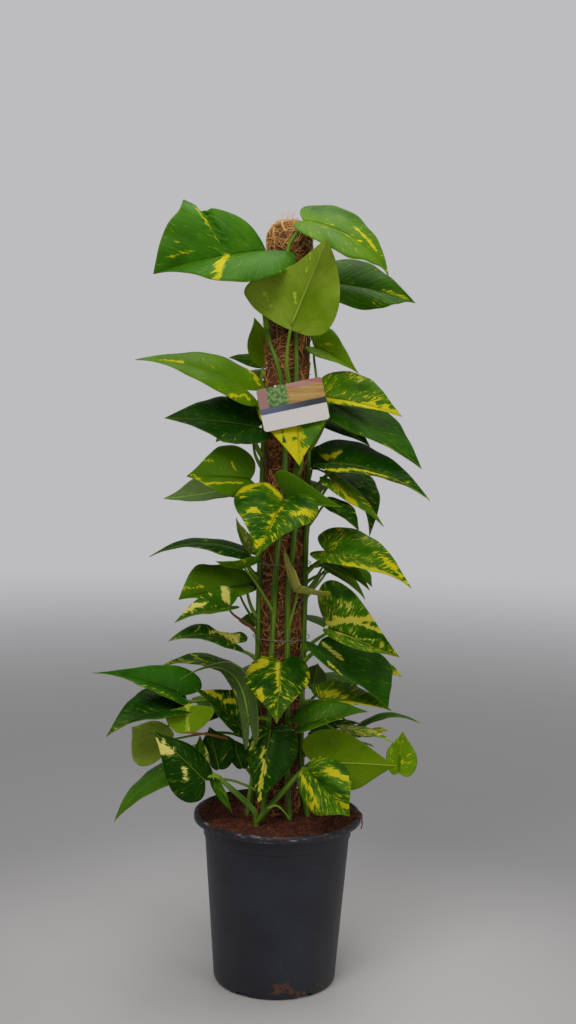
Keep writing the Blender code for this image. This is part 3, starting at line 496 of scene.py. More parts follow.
# The looks of each stem's leaves, in the order of LEAVES
LOOKS = {
    "front_left": (
        Look(
            0.46, 0.08, 0.1,
            (
                Mark((0.35, 0.05), (0.40, 0.75), 12, 1.8),
                Mark((0.55, -0.15), (0.80, -0.13), 4, 1.0),
                Mark((0.60, -0.3), (0.62, -0.3), 4, 1.0),
                Mark((0.15, -0.85), (0.30, -0.2), 2.5, 1.4),
                Mark((0.05, -0.5), (0.20, -0.2), 12, -0.5),
            ),
            left=LONG_LOBE, right=PEAKED, folds=(Mark((0.34, 0.0), (0.10, -0.80), 7, -9),), warm=0.3,
        ),
        Look(0.34, 0.34, 0.2, (
            Mark((-0.15, -0.6), (0.10, -0.95), 9, 1.8),
            Mark((-0.12, -0.45), (0.0, -0.1), 5, 1.8),
            Mark((0.15, 0.85), (0.30, 0.45), 8, 1.1),
            Mark((0.20, 0.0), (0.55, 0.0), 5, 1.4),
            Mark((0.40, -0.35), (0.45, -0.55), 5, 1.4),
            Mark((0.75, 0.0), (0.90, -0.1), 6, 1.4),
            Mark((0.32, -0.8), (0.15, -0.4), 9, -1.1),
            Mark((0.0, 0.25), (0.05, 0.6), 9, -1.0),
        )),
        Look(0.55, 0.30, 0.2, (Mark((0.2, 1.0), (0.7, 0.9), 5, 1.5),)),
        Look(0.24, 0.38, 0.3, (
            Mark((0.05, -1.1), (0.0, -0.5), 9, 1.9),
            Mark((0.05, -0.1), (0.50, 0.0), 4, 1.5),
            Mark((0.68, -0.44), (0.50, -0.5), 6, 1.4),
            Mark((0.10, 0.95), (0.35, 0.9), 4, 1.8),
            Mark((-0.1, 0.5), (0.20, 0.5), 16, -1.2),
            Mark((0.82, 0.42), (0.55, 0.75), 5, 1.8),
            Mark((0.42, -0.3), (0.35, -0.6), 8, -1.2),
        )),
        Look(0.40, 0.12, 0.8, (Mark((0.6, -0.9), (0.2, -0.9), 4, 1.2),)),
        Look(0.35, 0.15, 0.2),
    ),
    "front_right": (
        Look(
            0.58, 0.22, 0.2,
            (
                Mark((0.50, 0.34), (0.75, 0.2), 5, 1.5),
                Mark((0.15, -0.3), (0.60, 0.05), 3, 1.0),
                Mark((0.05, 0.5), (0.40, 0.8), 16, -1.5),
            ),
            left=(1.0, 0.18), right=(1.7, 0.08), warm=0.7,
        ),
        Look(
            0.74, 0.04, 0.1,
            (
                Mark((0.36, -0.21), (0.27, -0.07), 4, 1.9),
                Mark((0.23, -0.68), (0.10, -0.46), 4, 1.7),
                Mark((0.80, -0.2), (0.62, -0.12), 4, 1.6),
            ),
            left=DEEP_LOBE, right=SHORT_LOBE,
        ),
        Look(0.50, 0.22, 0.1, (
            Mark((-0.05, -0.75), (0.95, -0.2), 26, 3.0),
            Mark((0.42, -0.42), (0.68, -0.32), 5, -3.0),
            Mark((0.45, 0.4), (0.50, 0.35), 5, 1.0),
            Mark((0.10, 0.3), (0.60, 0.4), 10, -0.5),
        )),
        Look(0.46, 0.04, 0.2, warm=1.0),
        # This blade faces down with its lit side away: its heavy pale yellow is partly its own marbling and
        # partly painted light on its shaded side
        Look(0.95, 0.85, 0.6, (
            Mark((0.10, 0.8), (0.40, 0.35), 6, 1.8),
            Mark((0.42, 0.34), (0.78, 0.05), 8, 2.2),
            Mark((0.50, -0.3), (0.70, -0.7), 7, 1.6),
        )),
        Look(0.14, 0.24, 0.45, (
            Mark((0.22, -0.2), (0.50, -0.04), 6, 1.8),
            Mark((0.54, -0.05), (0.95, 0.0), 6, 1.7),
            Mark((-0.05, -0.5), (0.20, -0.8), 5, 1.0),
            Mark((0.10, 0.45), (0.70, 0.5), 22, -1.2),
        )),
        Look(0.40, 0.14, 0.3, (Mark((0.3, -0.1), (0.7, -0.1), 4, 1.3),)),
    ),
    "left": (
        Look(0.60, 0.12, 0.2, (
            Mark((0.04, -0.98), (-0.08, -0.5), 6, 2.2),
            Mark((0.10, 0.85), (-0.05, 0.45), 6, 1.6),
            Mark((0.60, -0.05), (0.80, 0.0), 4, 1.6),
        ), warm=1.0, right=(-0.5, 0.0)),
        Look(0.03, 0.02, 0.7),
        Look(0.50, 0.08, 0.1, (
            Mark((0.10, 0.3), (0.80, 0.5), 5, 1.7),
            Mark((0.92, -0.05), (0.50, 0.95), 5, 1.6),
            Mark((0.55, -0.42), (0.72, -0.45), 4, 1.3),
            Mark((0.25, -0.4), (0.23, -0.2), 3, 1.6),
        ), warm=0.9),
        # This blade's lit side faces away, so its pale tone is partly its own colour and partly painted
        # light on its shaded side
        Look(1.0, 0.55, 0.8, warm=0.8),
        Look(0.14, 0.12, 0.3, (Mark((0.3, 0.9), (0.8, 0.6), 5, 0.8),)),
        Look(
            0.58, 0.12, 0.1, (Mark((0.88, -0.33), (0.62, -0.2), 3, 2.2),),
            right=(1.3, 0.16), warm=0.9,
        ),
        Look(0.34, 0.22, 0.6, (
            Mark((0.10, -0.95), (0.08, -0.3), 7, 2.4),
            Mark((0.45, -0.32), (0.78, -0.3), 5, 1.8),
        )),
        Look(
            0.22, 0.14, 0.5,
            (Mark((0.40, -0.26), (0.12, -0.25), 6, 2.0), Mark((0.0, -0.5), (0.05, 0.2), 8, 1.6)),
            right=HUMPED,
        ),
        Look(
            0.38, 0.02, 0.2, (Mark((0.1, 0.85), (0.8, 0.6), 5, 0.9),), right=(-1.3, 0.0), warm=0.1,
        ),
        Look(0.24, 0.06, 0.2, (Mark((0.85, 0.0), (0.70, 0.2), 4, 1.3),), warm=0.1),
        Look(0.58, 0.10, 0.1, (
            Mark((0.0, 0.0), (0.9, 0.0), 4, 2.2),
            Mark((0.9, -0.4), (0.95, 0.3), 5, 1.8),
        )),
        Look(0.08, 0.20, 0.15, (
            Mark((0.90, -0.18), (0.60, -0.28), 4, 1.9),
            Mark((0.49, -0.31), (0.28, -0.6), 4, 1.9),
            Mark((0.75, 0.5), (0.60, 0.9), 4, 1.3),
        )),
        Look(0.48, 0.06, 0.2),
        Look(0.10, 0.08, 0.3),
        Look(0.15, 0.10, 0.3),
    ),
    "right": (
        Look(0.72, 0.20, 0.1, (Mark((0.22, 0.3), (0.27, 0.35), 5, 1.6),), left=(-1.2, 0.0), warm=1.0),
        Look(0.45, 0.40, 0.1, (
            Mark((0.05, -0.55), (0.54, -0.12), 7, 2.0),
            Mark((0.60, -0.05), (1.0, 0.0), 9, 1.8),
            Mark((0.15, 0.5), (0.45, 0.45), 9, -0.9),
        ), warm=0.8),
        Look(0.30, 0.02, 0.2, (Mark((0.6, -0.6), (0.95, -0.2), 5, 1.3),)),
        Look(0.22, 0.16, 0.1, (
            Mark((-0.06, 0.15), (0.10, 0.4), 7, 1.8),
            Mark((0.0, -0.95), (0.55, -0.4), 6, 1.7),
            Mark((0.60, -0.2), (1.0, 0.0), 5, 1.1),
            Mark((0.15, 0.4), (0.65, 0.35), 15, -1.1),
        )),
        Look(0.55, 0.40, 0.1, (Mark((0.1, -0.2), (0.5, -0.8), 6, 1.6),)),
        Look(0.14, 0.08, 0.2, (Mark((0.2, 0.9), (0.8, 0.7), 4, 1.2),)),
        Look(0.42, 0.42, 0.15, (
            Mark((0.30, -0.9), (0.92, -0.1), 7, 1.8),
            Mark((0.60, 0.28), (0.85, 0.1), 5, 1.2),
            Mark((0.20, 0.25), (0.45, 0.3), 9, -0.9),
        )),
        Look(0.50, 0.06, 0.1, (Mark((0.20, 0.2), (0.40, 0.3), 4, 1.7),), warm=1.0),
        Look(0.55, 0.06, 0.1, warm=1.0),
        Look(0.40, 0.44, 0.45, (
            Mark((-0.05, 0.05), (0.80, 0.62), 4, 1.9),
            Mark((0.10, 0.25), (0.85, 0.35), 3, 1.8),
            Mark((0.10, -0.15), (0.70, 0.15), 3, 1.5),
            Mark((0.05, 0.75), (0.45, 0.85), 11, -1.6),
            Mark((0.88, 0.3), (0.45, 0.1), 8, -1.2),
        )),
        Look(0.27, 0.04, 0.5, (
            Mark((0.20, -0.75), (0.50, -0.98), 4, 2.2),
            Mark((-0.05, 0.15), (0.26, 0.08), 4, 2.2),
        ), warm=0.2),
        Look(0.46, 0.0, 0.1),
        Look(0.60, 0.60, 0.5),
        Look(0.38, 0.42, 0.15, (
            Mark((0.0, 0.3), (0.3, 0.2), 6, 1.0),
            Mark((0.3, -0.6), (0.9, -0.3), 7, 1.7),
        )),
    ),
    "back_right": (
        Look(0.36, 0.08, 0.2, (
            Mark((0.65, 0.08), (0.90, 0.02), 4, 1.4),
            Mark((0.15, -0.8), (0.75, -0.5), 10, 0.5),
        )),
        Look(0.15, 0.14, 0.3),
        Look(0.35, 0.20, 0.2),
        Look(0.18, 0.20, 0.2),
        Look(0.55, 0.10, 0.1, (Mark((0.1, 0.0), (0.6, 0.2), 4, 1.4),)),
        Look(0.30, 0.25, 0.2, (Mark((0.75, 0.0), (1.0, 0.0), 8, 1.4),)),
        Look(0.80, 0.35, 0.1),
        Look(0.35, 0.08, 0.8),
        Look(0.15, 0.15, 0.2),
        Look(0.50, 0.06, 0.8),
        Look(0.95, 0.55, 0.1, (Mark((0.6, 0.0), (1.0, 0.0), 8, 1.2),)),
        Look(0.40, 0.30, 0.2),
        Look(0.30, 0.40, 0.2),
        Look(0.45, 0.25, 0.3),
        Look(0.25, 0.35, 0.3),
    ),
    "back": (
        Look(0.45, 0.20, 0.2),
        Look(0.35, 0.35, 0.3),
        Look(0.50, 0.25, 0.2),
        Look(0.30, 0.45, 0.3),
        Look(0.40, 0.20, 0.2),
        Look(0.25, 0.40, 0.4),
        Look(0.45, 0.30, 0.2),
        Look(0.35, 0.25, 0.3),
        Look(0.50, 0.35, 0.2),
    ),
    "back_left": (
        Look(0.95, 0.15, 0.2, warm=0.8),
        Look(0.50, 0.15, 0.2),
        Look(0.45, 0.06, 0.8),
        Look(0.45, 0.10, 0.8),
        Look(0.20, 0.15, 0.2),
        Look(0.14, 0.36, 0.1),
        Look(0.15, 0.15, 0.2),
        Look(1.0, 0.10, 0.3),
        Look(0.40, 0.30, 0.2),
        Look(0.30, 0.40, 0.3),
        Look(0.45, 0.20, 0.2),
        Look(0.35, 0.35, 0.3),
        Look(0.50, 0.25, 0.2),
    ),
    "low_left": (
        Look(
            0.08, 0.05, 0.75,
            (
                Mark((0.86, 0.22), (0.66, 0.17), 9, 2.4),
                Mark((0.36, 0.2), (0.24, 0.4), 6, 1.9),
            ),
        ),
        Look(0.34, 0.16, 0.6, (Mark((0.1, -0.9), (0.9, -0.5), 4, 2.0),)),
    ),
    "low_right": (
        Look(0.38, 0.40, 0.15, (
            Mark((-0.05, -0.4), (0.15, -0.5), 6, 1.7),
            Mark((0.20, -0.85), (0.28, -0.6), 6, 1.6),
            Mark((0.14, 0.45), (0.36, 0.72), 7, 1.8),
            Mark((0.60, 0.6), (0.64, 0.55), 5, 1.5),
            Mark((0.85, 0.1), (0.80, 0.05), 5, 1.4),
            Mark((0.10, 0.85), (0.45, 0.95), 8, -1.2),
            Mark((0.30, 0.1), (0.60, 0.3), 7, -1.0),
        )),
    ),
}


# Petioles that have turned orange-brown: stem, and height where they leave it
BROWN_PETIOLES = {("left", 300), ("left", 460)}

# Where a blade is widest and where its rib starts, as shares of its length
WIDEST_SHARE = 0.13
MIDRIB_FOOT = 0.05

# Half a blade's outline from the notch at the petiole, round the lobe to the tip: along
# the midrib as a share of the length, away from it as a share of half the width, and
# where the side vein that ends there leaves the midrib.
OUTLINE = (
    (0.00, 0.00, 0.00), (-0.11, 0.25, 0.00), (-0.15, 0.55, 0.00), (-0.06, 0.86, 0.00),
    (WIDEST_SHARE, 1.00, 0.00), (0.36, 0.90, 0.12), (0.60, 0.58, 0.40), (0.82, 0.24, 0.70),
    (1.00, 0.00, 1.00),
)


class Wire:
    """A socket of a material's nodes that takes part in sums."""

    def __init__(self, kit, socket):
        self.kit = kit
        self.socket = socket

    def math(self, operation, *others):
        return self.kit.add("ShaderNodeMath", {"operation": operation}, (self, *others))

    def __add__(self, other):
        return self.math("ADD", other)

    def __mul__(self, other):
        return self.math("MULTIPLY", other)

    def __sub__(self, other):
        return self.math("SUBTRACT", other)

    def __rsub__(self, other):
        return self.kit.add("ShaderNodeMath", {"operation": "SUBTRACT"}, (other, self))

    def __truediv__(self, other):
        return self.math("DIVIDE", other)

    __radd__ = __add__
    __rmul__ = __mul__


class Finish:
    """A material being built: one Principled shader and the nodes that feed it."""

    def __init__(self, name, **fixed):
        self.material = bpy.data.materials.new(name)
        self.material.use_nodes = True
        self.tree = self.material.node_tree
        self.shader = self.tree.nodes["Principled BSDF"]
        for socket, value in fixed.items():
            self.shader.inputs[socket.replace("_", " ")].default_value = value

    def add(self, kind, settings=None, inputs=(), out=0):
        """Adds a node. inputs are its sockets' values or wires, in order or by name."""
        node = self.tree.nodes.new(kind)
        for key, value in (settings or {}).items():
            setattr(node, key, value)
        pairs = inputs.items() if isinstance(inputs, dict) else enumerate(inputs)
        for key, value in pairs:
            if isinstance(value, Wire):
                self.tree.links.new(value.socket, node.inputs[key])
            else:
                node.inputs[key].default_value = value
        return Wire(self, node.outputs[out])

    def feed(self, socket, wire):
        self.tree.links.new(wire.socket, self.shader.inputs[socket])

    def place(self):
        return self.add("ShaderNodeTexCoord", out="Object")

    def along_blade(self):
        """The piece's own UV map: metres along, and metres out."""
        return self.add("ShaderNodeUVMap", {"uv_map": "run"})

    def value(self, name):
        return self.add("ShaderNodeAttribute", {"attribute_name": name}, out="Fac")

    def stretched(self, vector, scale):
        return self.add("ShaderNodeVectorMath", {"operation": "MULTIPLY"}, (vector, scale))

    def parts(self, vector):
        return [self.add("ShaderNodeSeparateXYZ", None, (vector,), out) for out in range(3)]

    def noise(self, vector, scale, detail=3.0, roughness=0.55):
        return self.add(
            "ShaderNodeTexNoise", None,
            {"Vector": vector, "Scale": scale, "Detail": detail, "Roughness": roughness},
        )

    def step(self, wire, low, high):
        """0 below low, 1 above high, and smooth between them."""
        return self.add(
            "ShaderNodeMapRange", {"interpolation_type": "SMOOTHSTEP"},
            {"Value": wire, "From Min": low, "From Max": high},
        )

    def mix(self, factor, first, second):
        """A colour between two, which are colours or wires."""
        colours = [c if isinstance(c, Wire) else (*c, 1) for c in (first, second)]
        return self.add(
            "ShaderNodeMix", {"data_type": "RGBA"}, {0: factor, 6: colours[0], 7: colours[1]}, 2
        )

    def bump(self, height, distance, strength=1.0):
        normal = self.add(
            "ShaderNodeBump", None, {"Strength": strength, "Distance": distance, "Height": height}
        )
        self.feed("Normal", normal)


def leaf_finish(under):
    """A blade's waxy upper side, or its dull, paler lower side, whose palest greens paint light shining
    through a thin blade.
    """
    name = "leaf underside" if under else "leaf"
    kit = Finish(name, Specular_IOR_Level=0.08 if under else 0.12, Specular_Tint=WAX_TINT)
    run = kit.along_blade()
    along, out, _ = kit.parts(run)
    out_size = out.math("ABSOLUTE")
    spot = kit.place()
    green, gold, cream, warm = (kit.value(name) for name in ("green", "gold", "cream", "warm"))
    edge = kit.value("edge")

    broad = kit.noise(spot, 26.0, 2.0)
    tone = kit.step(green + (broad - 0.5) * 0.45, 0.0, 1.0)
    if under:
        colour = kit.mix(kit.step(tone, 0.0, 0.7), (0.030, 0.075, 0.002), (0.14, 0.24, 0.002))
        # The palest underside greens paint light shining through a thin blade
        colour = kit.mix(kit.step(tone, 0.65, 1.1), colour, (0.33, 0.44, 0.05))
        colour = kit.mix(kit.step(cream, 0.6, 0.8) * 0.7, colour, (0.10, 0.16, 0.06))
    else:
        middle = kit.mix(warm, (0.024, 0.145, 0.004), (0.060, 0.150, 0.0005))
        # The darkest greens are partly the leaf's own dark green and partly painted shade for leaves that
        # sit in shade
        deep_and_shaded = kit.mix(kit.step(tone, 0.0, 0.5), (0.004, 0.036, 0.0004), middle)
        colour = kit.mix(kit.step(tone, 0.4, 1.0), deep_and_shaded, (0.140, 0.270, 0.002))

    wander = kit.noise(spot, 38.0, 2.0)
    bent = kit.add("ShaderNodeCombineXYZ", None, (along + (wander - 0.5) * 0.016, out, 0.0))
    wide = kit.noise(kit.stretched(bent, (150.0, 36.0, 0.0)), 1.0, 3.0, 0.62)
    fine = kit.noise(kit.stretched(bent, (480.0, 110.0, 0.0)), 1.0, 2.0, 0.6)
    marbling = (wide * 0.5 + fine * 0.5 - 0.5) * 1.7 + 0.5 + gold
    between = kit.step(marbling, 0.44, 0.60)
    colour = kit.mix(between * 0.5, colour, (0.10, 0.22, 0.002))
    flecks = kit.step(marbling, 0.61, 0.68)
    warmth = kit.step(cream + (broad - 0.5) * 0.8, 0.2, 0.9)
    yellow = kit.mix(warmth, (0.52, 0.46, 0.006), (0.74, 0.66, 0.19))
    if under:
        yellow = kit.mix(0.75, yellow, (0.40, 0.52, 0.05))
    colour = kit.mix(flecks, colour, yellow)

    phase = (along / VEIN_SPACING).math("FRACT")
    vein = kit.step((phase - 0.5).math("ABSOLUTE"), 0.44, 0.5)
    colour = kit.mix(vein * (0.16 if under else 0.08), colour, (0.22, 0.33, 0.02))
    midrib = 1.0 - kit.step(out_size, 0.0006, 0.0018)
    colour = kit.mix(midrib * (0.9 if under else 0.45), colour, (0.34, 0.44, 0.03))
    rim = kit.step(edge, 0.965, 1.0)
    colour = kit.mix(rim * 0.3, colour, (0.24, 0.32, 0.02))
    kit.feed("Base Color", colour)

    wax = kit.noise(spot, 60.0, 2.0)
    kit.feed("Roughness", wax * 0.16 + (0.55 if under else 0.33))
    swell = kit.noise(kit.stretched(run, (90.0, 12.0, 0.0)), 1.0, 1.0)
    dent = swell * 1.6 + fine * 0.12 - midrib * (-1.0 if under else 0.9) + vein * (0.25 if under else -0.15)
    kit.bump(dent, 0.0007, 0.6)
    return kit.material


def petiole_finish():
    """Ribbed green, paler where the stalk runs on as a rib, and brown on an old one."""
    kit = Finish("petiole", Roughness=0.45, Specular_IOR_Level=0.3)
    along, round_, _ = kit.parts(kit.along_blade())
    brown = kit.value("gold")
    streak = kit.noise(kit.add("ShaderNodeCombineXYZ", None, (along * 25.0, round_ * 900.0, 0.0)), 1.0)
    colour = kit.mix(kit.step(streak, 0.35, 0.7), (0.075, 0.19, 0.004), (0.28, 0.42, 0.02))
    colour = kit.mix(kit.value("cream"), colour, (0.38, 0.50, 0.05))
    colour = kit.mix(kit.step(brown, 0.3, 1.0), colour, (0.22, 0.09, 0.02))
    kit.feed("Base Color", colour)
    kit.bump(streak, 0.0003, 0.4)
    return kit.material


def stem_finish():
    """Green, ribbed stems that turn brown and woody near the mix."""
    kit = Finish("stem", Roughness=0.5, Specular_IOR_Level=0.3)
    spot = kit.place()
    height = kit.parts(spot)[2]
    along, round_, _ = kit.parts(kit.along_blade())
    rib = kit.noise(kit.add("ShaderNodeCombineXYZ", None, (along * 18.0, round_ * 700.0, 0.0)), 1.0)
    colour = kit.mix(kit.step(rib, 0.35, 0.65), (0.030, 0.10, 0.004), (0.16, 0.28, 0.015))
    patch = kit.noise(spot, 70.0, 4.0)
    woody = kit.step(patch + (0.28 - height) * 1.2, 0.62, 0.78)
    colour = kit.mix(woody * 0.6, colour, (0.14, 0.09, 0.02))
    kit.feed("Base Color", colour)
    kit.bump(rib, 0.0005, 0.7)
    return kit.material


def root_finish():
    """Rough brown skin, darker in patches."""
    kit = Finish("aerial root", Roughness=0.8)
    patch = kit.noise(kit.place(), 220.0, 3.0)
    kit.feed("Base Color", kit.mix(kit.step(patch, 0.35, 0.65), (0.10, 0.045, 0.018), (0.27, 0.18, 0.08)))
    kit.bump(patch, 0.0005, 0.8)
    return kit.material


def coir_finish(name, dark, light, grain=420.0, faded=0.85):
    """Coconut fibre, mottled from dark to light.

    grain is how fine the mottling is, and faded is how much of the colour has gone near
    the pole's top.
    """
    kit = Finish(name, Roughness=0.85)
    spot = kit.place()
    strand = kit.noise(spot, grain, 3.0, 0.7)
    patch = kit.noise(spot, 60.0, 2.0)
    tone = kit.step(strand * 0.7 + patch * 0.3, 0.36, 0.60)
    colour = kit.mix(tone, dark, light)
    dry = kit.step(kit.parts(spot)[2] + (patch - 0.5) * 0.06, COIR_TOP - 0.055, COIR_TOP - 0.015)
    bleached = kit.mix(tone, (0.30, 0.12, 0.02), (0.90, 0.50, 0.13))
    kit.feed("Base Color", kit.mix(dry * faded, colour, bleached))
    kit.bump(strand, 0.0012, 0.9)
    return kit.material


def tangle_finish():
    """Sun-bleached coir strands, each of one tone from brown to straw, and painted paler the further out
    from the felt it lies.
    """
    kit = Finish("coir tangle", Roughness=0.7)
    grain = kit.noise(kit.place(), 500.0, 2.0)
    tone = kit.step(kit.value("gold") + (grain - 0.5) * 0.3, 0.0, 1.0)
    colour = kit.mix(kit.step(tone, 0.0, 0.5), (0.16, 0.05, 0.010), (0.55, 0.24, 0.05))
    kit.feed("Base Color", kit.mix(kit.step(tone, 0.5, 1.0), colour, (0.95, 0.64, 0.26)))
    kit.bump(grain, 0.0004, 0.4)
    return kit.material


def pot_finish():
    """Dark moulded plastic with dust, pale marks on the rim that are partly scuffs and partly painted
    highlight glints, and dried mix near the foot.
    """
    kit = Finish("pot plastic", Roughness=0.45, Specular_IOR_Level=0.40)
    spot = kit.place()
    _, _, height = kit.parts(spot)
    cloud = kit.noise(spot, 14.0, 4.0, 0.6)
    colour = kit.mix(kit.step(cloud, 0.3, 0.7), (0.011, 0.012, 0.018), (0.019, 0.021, 0.029))
    dust = kit.noise(spot, 160.0, 4.0, 0.7)
    # Pale marks on the rim: partly scuffs, partly painted highlight glints
    rub_and_glint_noise = kit.noise(kit.stretched(spot, (40.0, 40.0, 260.0)), 1.0, 4.0, 0.7)
    on_rim = kit.step(height, POT_HEIGHT - POT_RIM_HEIGHT - 0.001, POT_HEIGHT - POT_RIM_HEIGHT)
    pale_rub_and_glint = kit.step(rub_and_glint_noise, 0.56, 0.68) * on_rim
    colour = kit.mix(pale_rub_and_glint * 0.6, colour, (0.38, 0.39, 0.40))
    smear = kit.step(kit.noise(spot, 95.0, 5.0, 0.75), 0.50, 0.64) * on_rim
    colour = kit.mix(smear * 0.75, colour, (0.10, 0.034, 0.012))
    foot = 1.0 - kit.step(height, 0.006, 0.045)
    crust = kit.step(kit.noise(spot, 38.0, 4.0, 0.65), 0.58, 0.64) * foot
    colour = kit.mix(crust, colour, (0.12, 0.045, 0.018))
    colour = kit.mix(kit.step(dust, 0.62, 0.75) * 0.12, colour, (0.35, 0.33, 0.30))
    kit.feed("Base Color", colour)
    kit.feed("Roughness", 0.40 + cloud * 0.16 + crust * 0.3)
    kit.bump(dust * 0.3 + crust * 2.0, 0.0004, 0.5)
    return kit.material


def mix_finish(name, dark, light):
    """Damp peat or bark, grainy and clumped, from dark to light."""
    kit = Finish(name, Roughness=0.95)
    spot = kit.place()
    grain = kit.noise(spot, 330.0, 5.0, 0.75)
    clump = kit.noise(spot, 75.0, 3.0, 0.6)
    tone = kit.step(grain * 0.65 + clump * 0.35, 0.38, 0.66)
    kit.feed("Base Color", kit.mix(tone, dark, light))
    kit.bump(grain, 0.0014, 1.0)
    return kit.material


def thread_finish():
    """Twisted grey thread."""
    kit = Finish("tie thread", Roughness=0.35)
    twist = kit.noise(kit.place(), 900.0, 2.0)
    kit.feed("Base Color", kit.mix(twist, (0.10, 0.11, 0.08), (0.26, 0.27, 0.22)))
    kit.bump(twist, 0.0002, 0.5)
    return kit.material


def card_finish():
    """Plain printed card: soft bands of colour over a cream foot, with a bare margin."""
    kit = Finish("card print", Roughness=0.38, Coat_Weight=0.25, Coat_Roughness=0.15)
    across, up, _ = kit.parts(kit.add("ShaderNodeUVMap", {"uv_map": "run"}))
    grain = kit.noise(kit.place(), 260.0, 3.0)
    ripple = kit.noise(kit.stretched(kit.place(), (30.0, 30.0, 240.0)), 1.0, 3.0)
    left = (0.36, 0.19, 0.16)
    middle = kit.mix(kit.step(grain, 0.4, 0.6), (0.05, 0.13, 0.03), (0.22, 0.36, 0.10))
    right = kit.mix(kit.step(ripple, 0.4, 0.6), (0.40, 0.21, 0.05), (0.52, 0.33, 0.10))
    high = kit.mix(kit.step(across, 0.12, 0.17), left, middle)
    high = kit.mix(kit.step(across, 0.43, 0.48), high, right)
    top = kit.mix(kit.step(ripple, 0.42, 0.6), (0.42, 0.14, 0.12), (0.45, 0.24, 0.20))
    high = kit.mix(kit.step(up, 0.86, 0.88) * kit.step(across, 0.47, 0.5), high, top)
    slate = kit.mix(kit.step(across, 0.1, 0.9), (0.10, 0.12, 0.20), (0.025, 0.035, 0.035))
    print_ = kit.mix(kit.step(up, 0.52, 0.54), slate, high)
    colour = kit.mix(kit.step(up, 0.385, 0.40), (0.70, 0.66, 0.62), print_)
    kit.feed("Base Color", colour)
    kit.bump(grain, 0.0001, 0.15)
    return kit.material


def stage_finish():
    """Pale floor with painted shade that darkens it away from the plant, and that fades into the room with
    distance.
    """
    kit = Finish("studio floor", Roughness=0.5)
    spot = kit.place()
    patch = kit.noise(spot, 2.0, 2.0)
    near = kit.mix(patch, (0.55, 0.535, 0.52), (0.60, 0.585, 0.57))
    far = kit.add("ShaderNodeVectorMath", {"operation": "LENGTH"}, (spot,), "Value")
    # Painted shade: darker further from the plant
    kit.feed("Base Color", kit.mix(kit.step(far, *FLOOR_PAINTED_SHADE), near, (0.38, 0.37, 0.375)))
    kit.feed("Alpha", 1.0 - kit.step(far, *FLOOR_FADE))
    return kit.material


class Build:
    """Gathers points, faces and their values into one mesh."""

    def __init__(self):
        self.points = []
        self.faces = []
        self.slots = []
        self.runs = []
        self.values = {"green": [], "gold": [], "cream": [], "edge": [], "warm": []}

    def grow(self, points, faces, runs, slot, **values):
        """points is (n, 3), faces index into them, runs is (n, 2)."""
        first = len(self.points)
        self.points.extend(points)
        self.faces.extend([tuple(first + i for i in face) for face in faces])
        self.slots.extend([slot] * len(faces))
        self.runs.extend(runs)
        for name, kept in self.values.items():
            given = values.get(name, 0.0)
            kept.extend(given if hasattr(given, "__len__") else [given] * len(points))

    def mesh(self, name):
        mesh = bpy.data.meshes.new(name)
        mesh.from_pydata([tuple(p) for p in self.points], [], self.faces)
        mesh.polygons.foreach_set("material_index", self.slots)
        mesh.polygons.foreach_set("use_smooth", [True] * len(self.faces))
        corners = np.zeros(len(mesh.loops), int)
        mesh.loops.foreach_get("vertex_index", corners)
        layer = mesh.uv_layers.new(name="run")
        layer.uv.foreach_set("vector", np.array(self.runs, np.float32)[corners].ravel())
        for key, numbers in self.values.items():
            kept = mesh.attributes.new(key, "FLOAT", "POINT")
            kept.data.foreach_set("value", np.array(numbers, np.float32))
        mesh.update()
        return mesh


def unit(vector):
    """The vector again, with length 1."""
    return vector / np.linalg.norm(vector)


def smooth_route(points, steps):
    """Points of a smooth curve through the given ones."""
    points = np.array(points, float)
    ends = np.vstack([2 * points[0] - points[1], points, 2 * points[-1] - points[-2]])
    route = []
    for a, b, c, d in zip(ends, ends[1:], ends[2:], ends[3:]):
        for t in np.arange(steps) / steps:
            route.append(
                0.5 * (2 * b + (c - a) * t + (2 * a - 5 * b + 4 * c - d) * t**2
                       + (3 * b - a - 3 * c + d) * t**3)
            )
    return np.array([*route, points[-1]])


def evenly(route, count):
    """The route again, with its points the same distance apart."""
    spans = np.linalg.norm(np.diff(route, axis=0), axis=1)
    far = np.concatenate([[0], np.cumsum(spans)])
    marks = np.linspace(0, far[-1], count)
    return np.stack([np.interp(marks, far, route[:, k]) for k in range(route.shape[1])], 1)


def rod(build, route, radii, sides, slot, **values):
    """A round rod along the route, with closed ends."""
    route = np.array(route, float)
    count = len(route)
    ways = np.gradient(route, axis=0)
    side = np.cross(ways[0], (0.31, 0.87, 0.38))
    far = np.concatenate([[0], np.cumsum(np.linalg.norm(np.diff(route, axis=0), axis=1))])
    points, runs = [], []
    for spot, way, radius, run in zip(route, ways, radii, far):
        way = unit(way)
        side = unit(side - way * np.dot(side, way))
        other = np.cross(way, side)
        for k in range(sides):
            angle = math.tau * k / sides
            points.append(spot + radius * (math.cos(angle) * side + math.sin(angle) * other))
            runs.append((run, STEM_RADIUS * angle))
    faces = []
    for i in range(count - 1):
        for k in range(sides):
            nxt = (k + 1) % sides
            faces.append((i * sides + k, i * sides + nxt, (i + 1) * sides + nxt, (i + 1) * sides + k))
    faces.append(tuple(range(sides))[::-1])
    faces.append(tuple((count - 1) * sides + k for k in range(sides)))
    build.grow(points, faces, runs, slot, **values)


def leaf_axes(leaf):
    """Base, tip, the two widest points and the way up, in metres."""
    base, tip, left, right = (
        np.array(spot, float) * MM for spot in (leaf.base, leaf.tip, leaf.left, leaf.right)
    )
    along = tip - base
    up = unit(np.cross(along, left - base) - np.cross(along, right - base))
    return base, tip, left, right, up


def midrib_point(leaf, share):
    """Points of the midrib at shares of the blade's length from its base."""
    base, tip, _, _, up = leaf_axes(leaf)
    share = np.asarray(share, float)[..., None]
    rise = 4 * share * (1 - share) * leaf.arch * np.linalg.norm(tip - base)
    return base + (tip - base) * share + up * rise


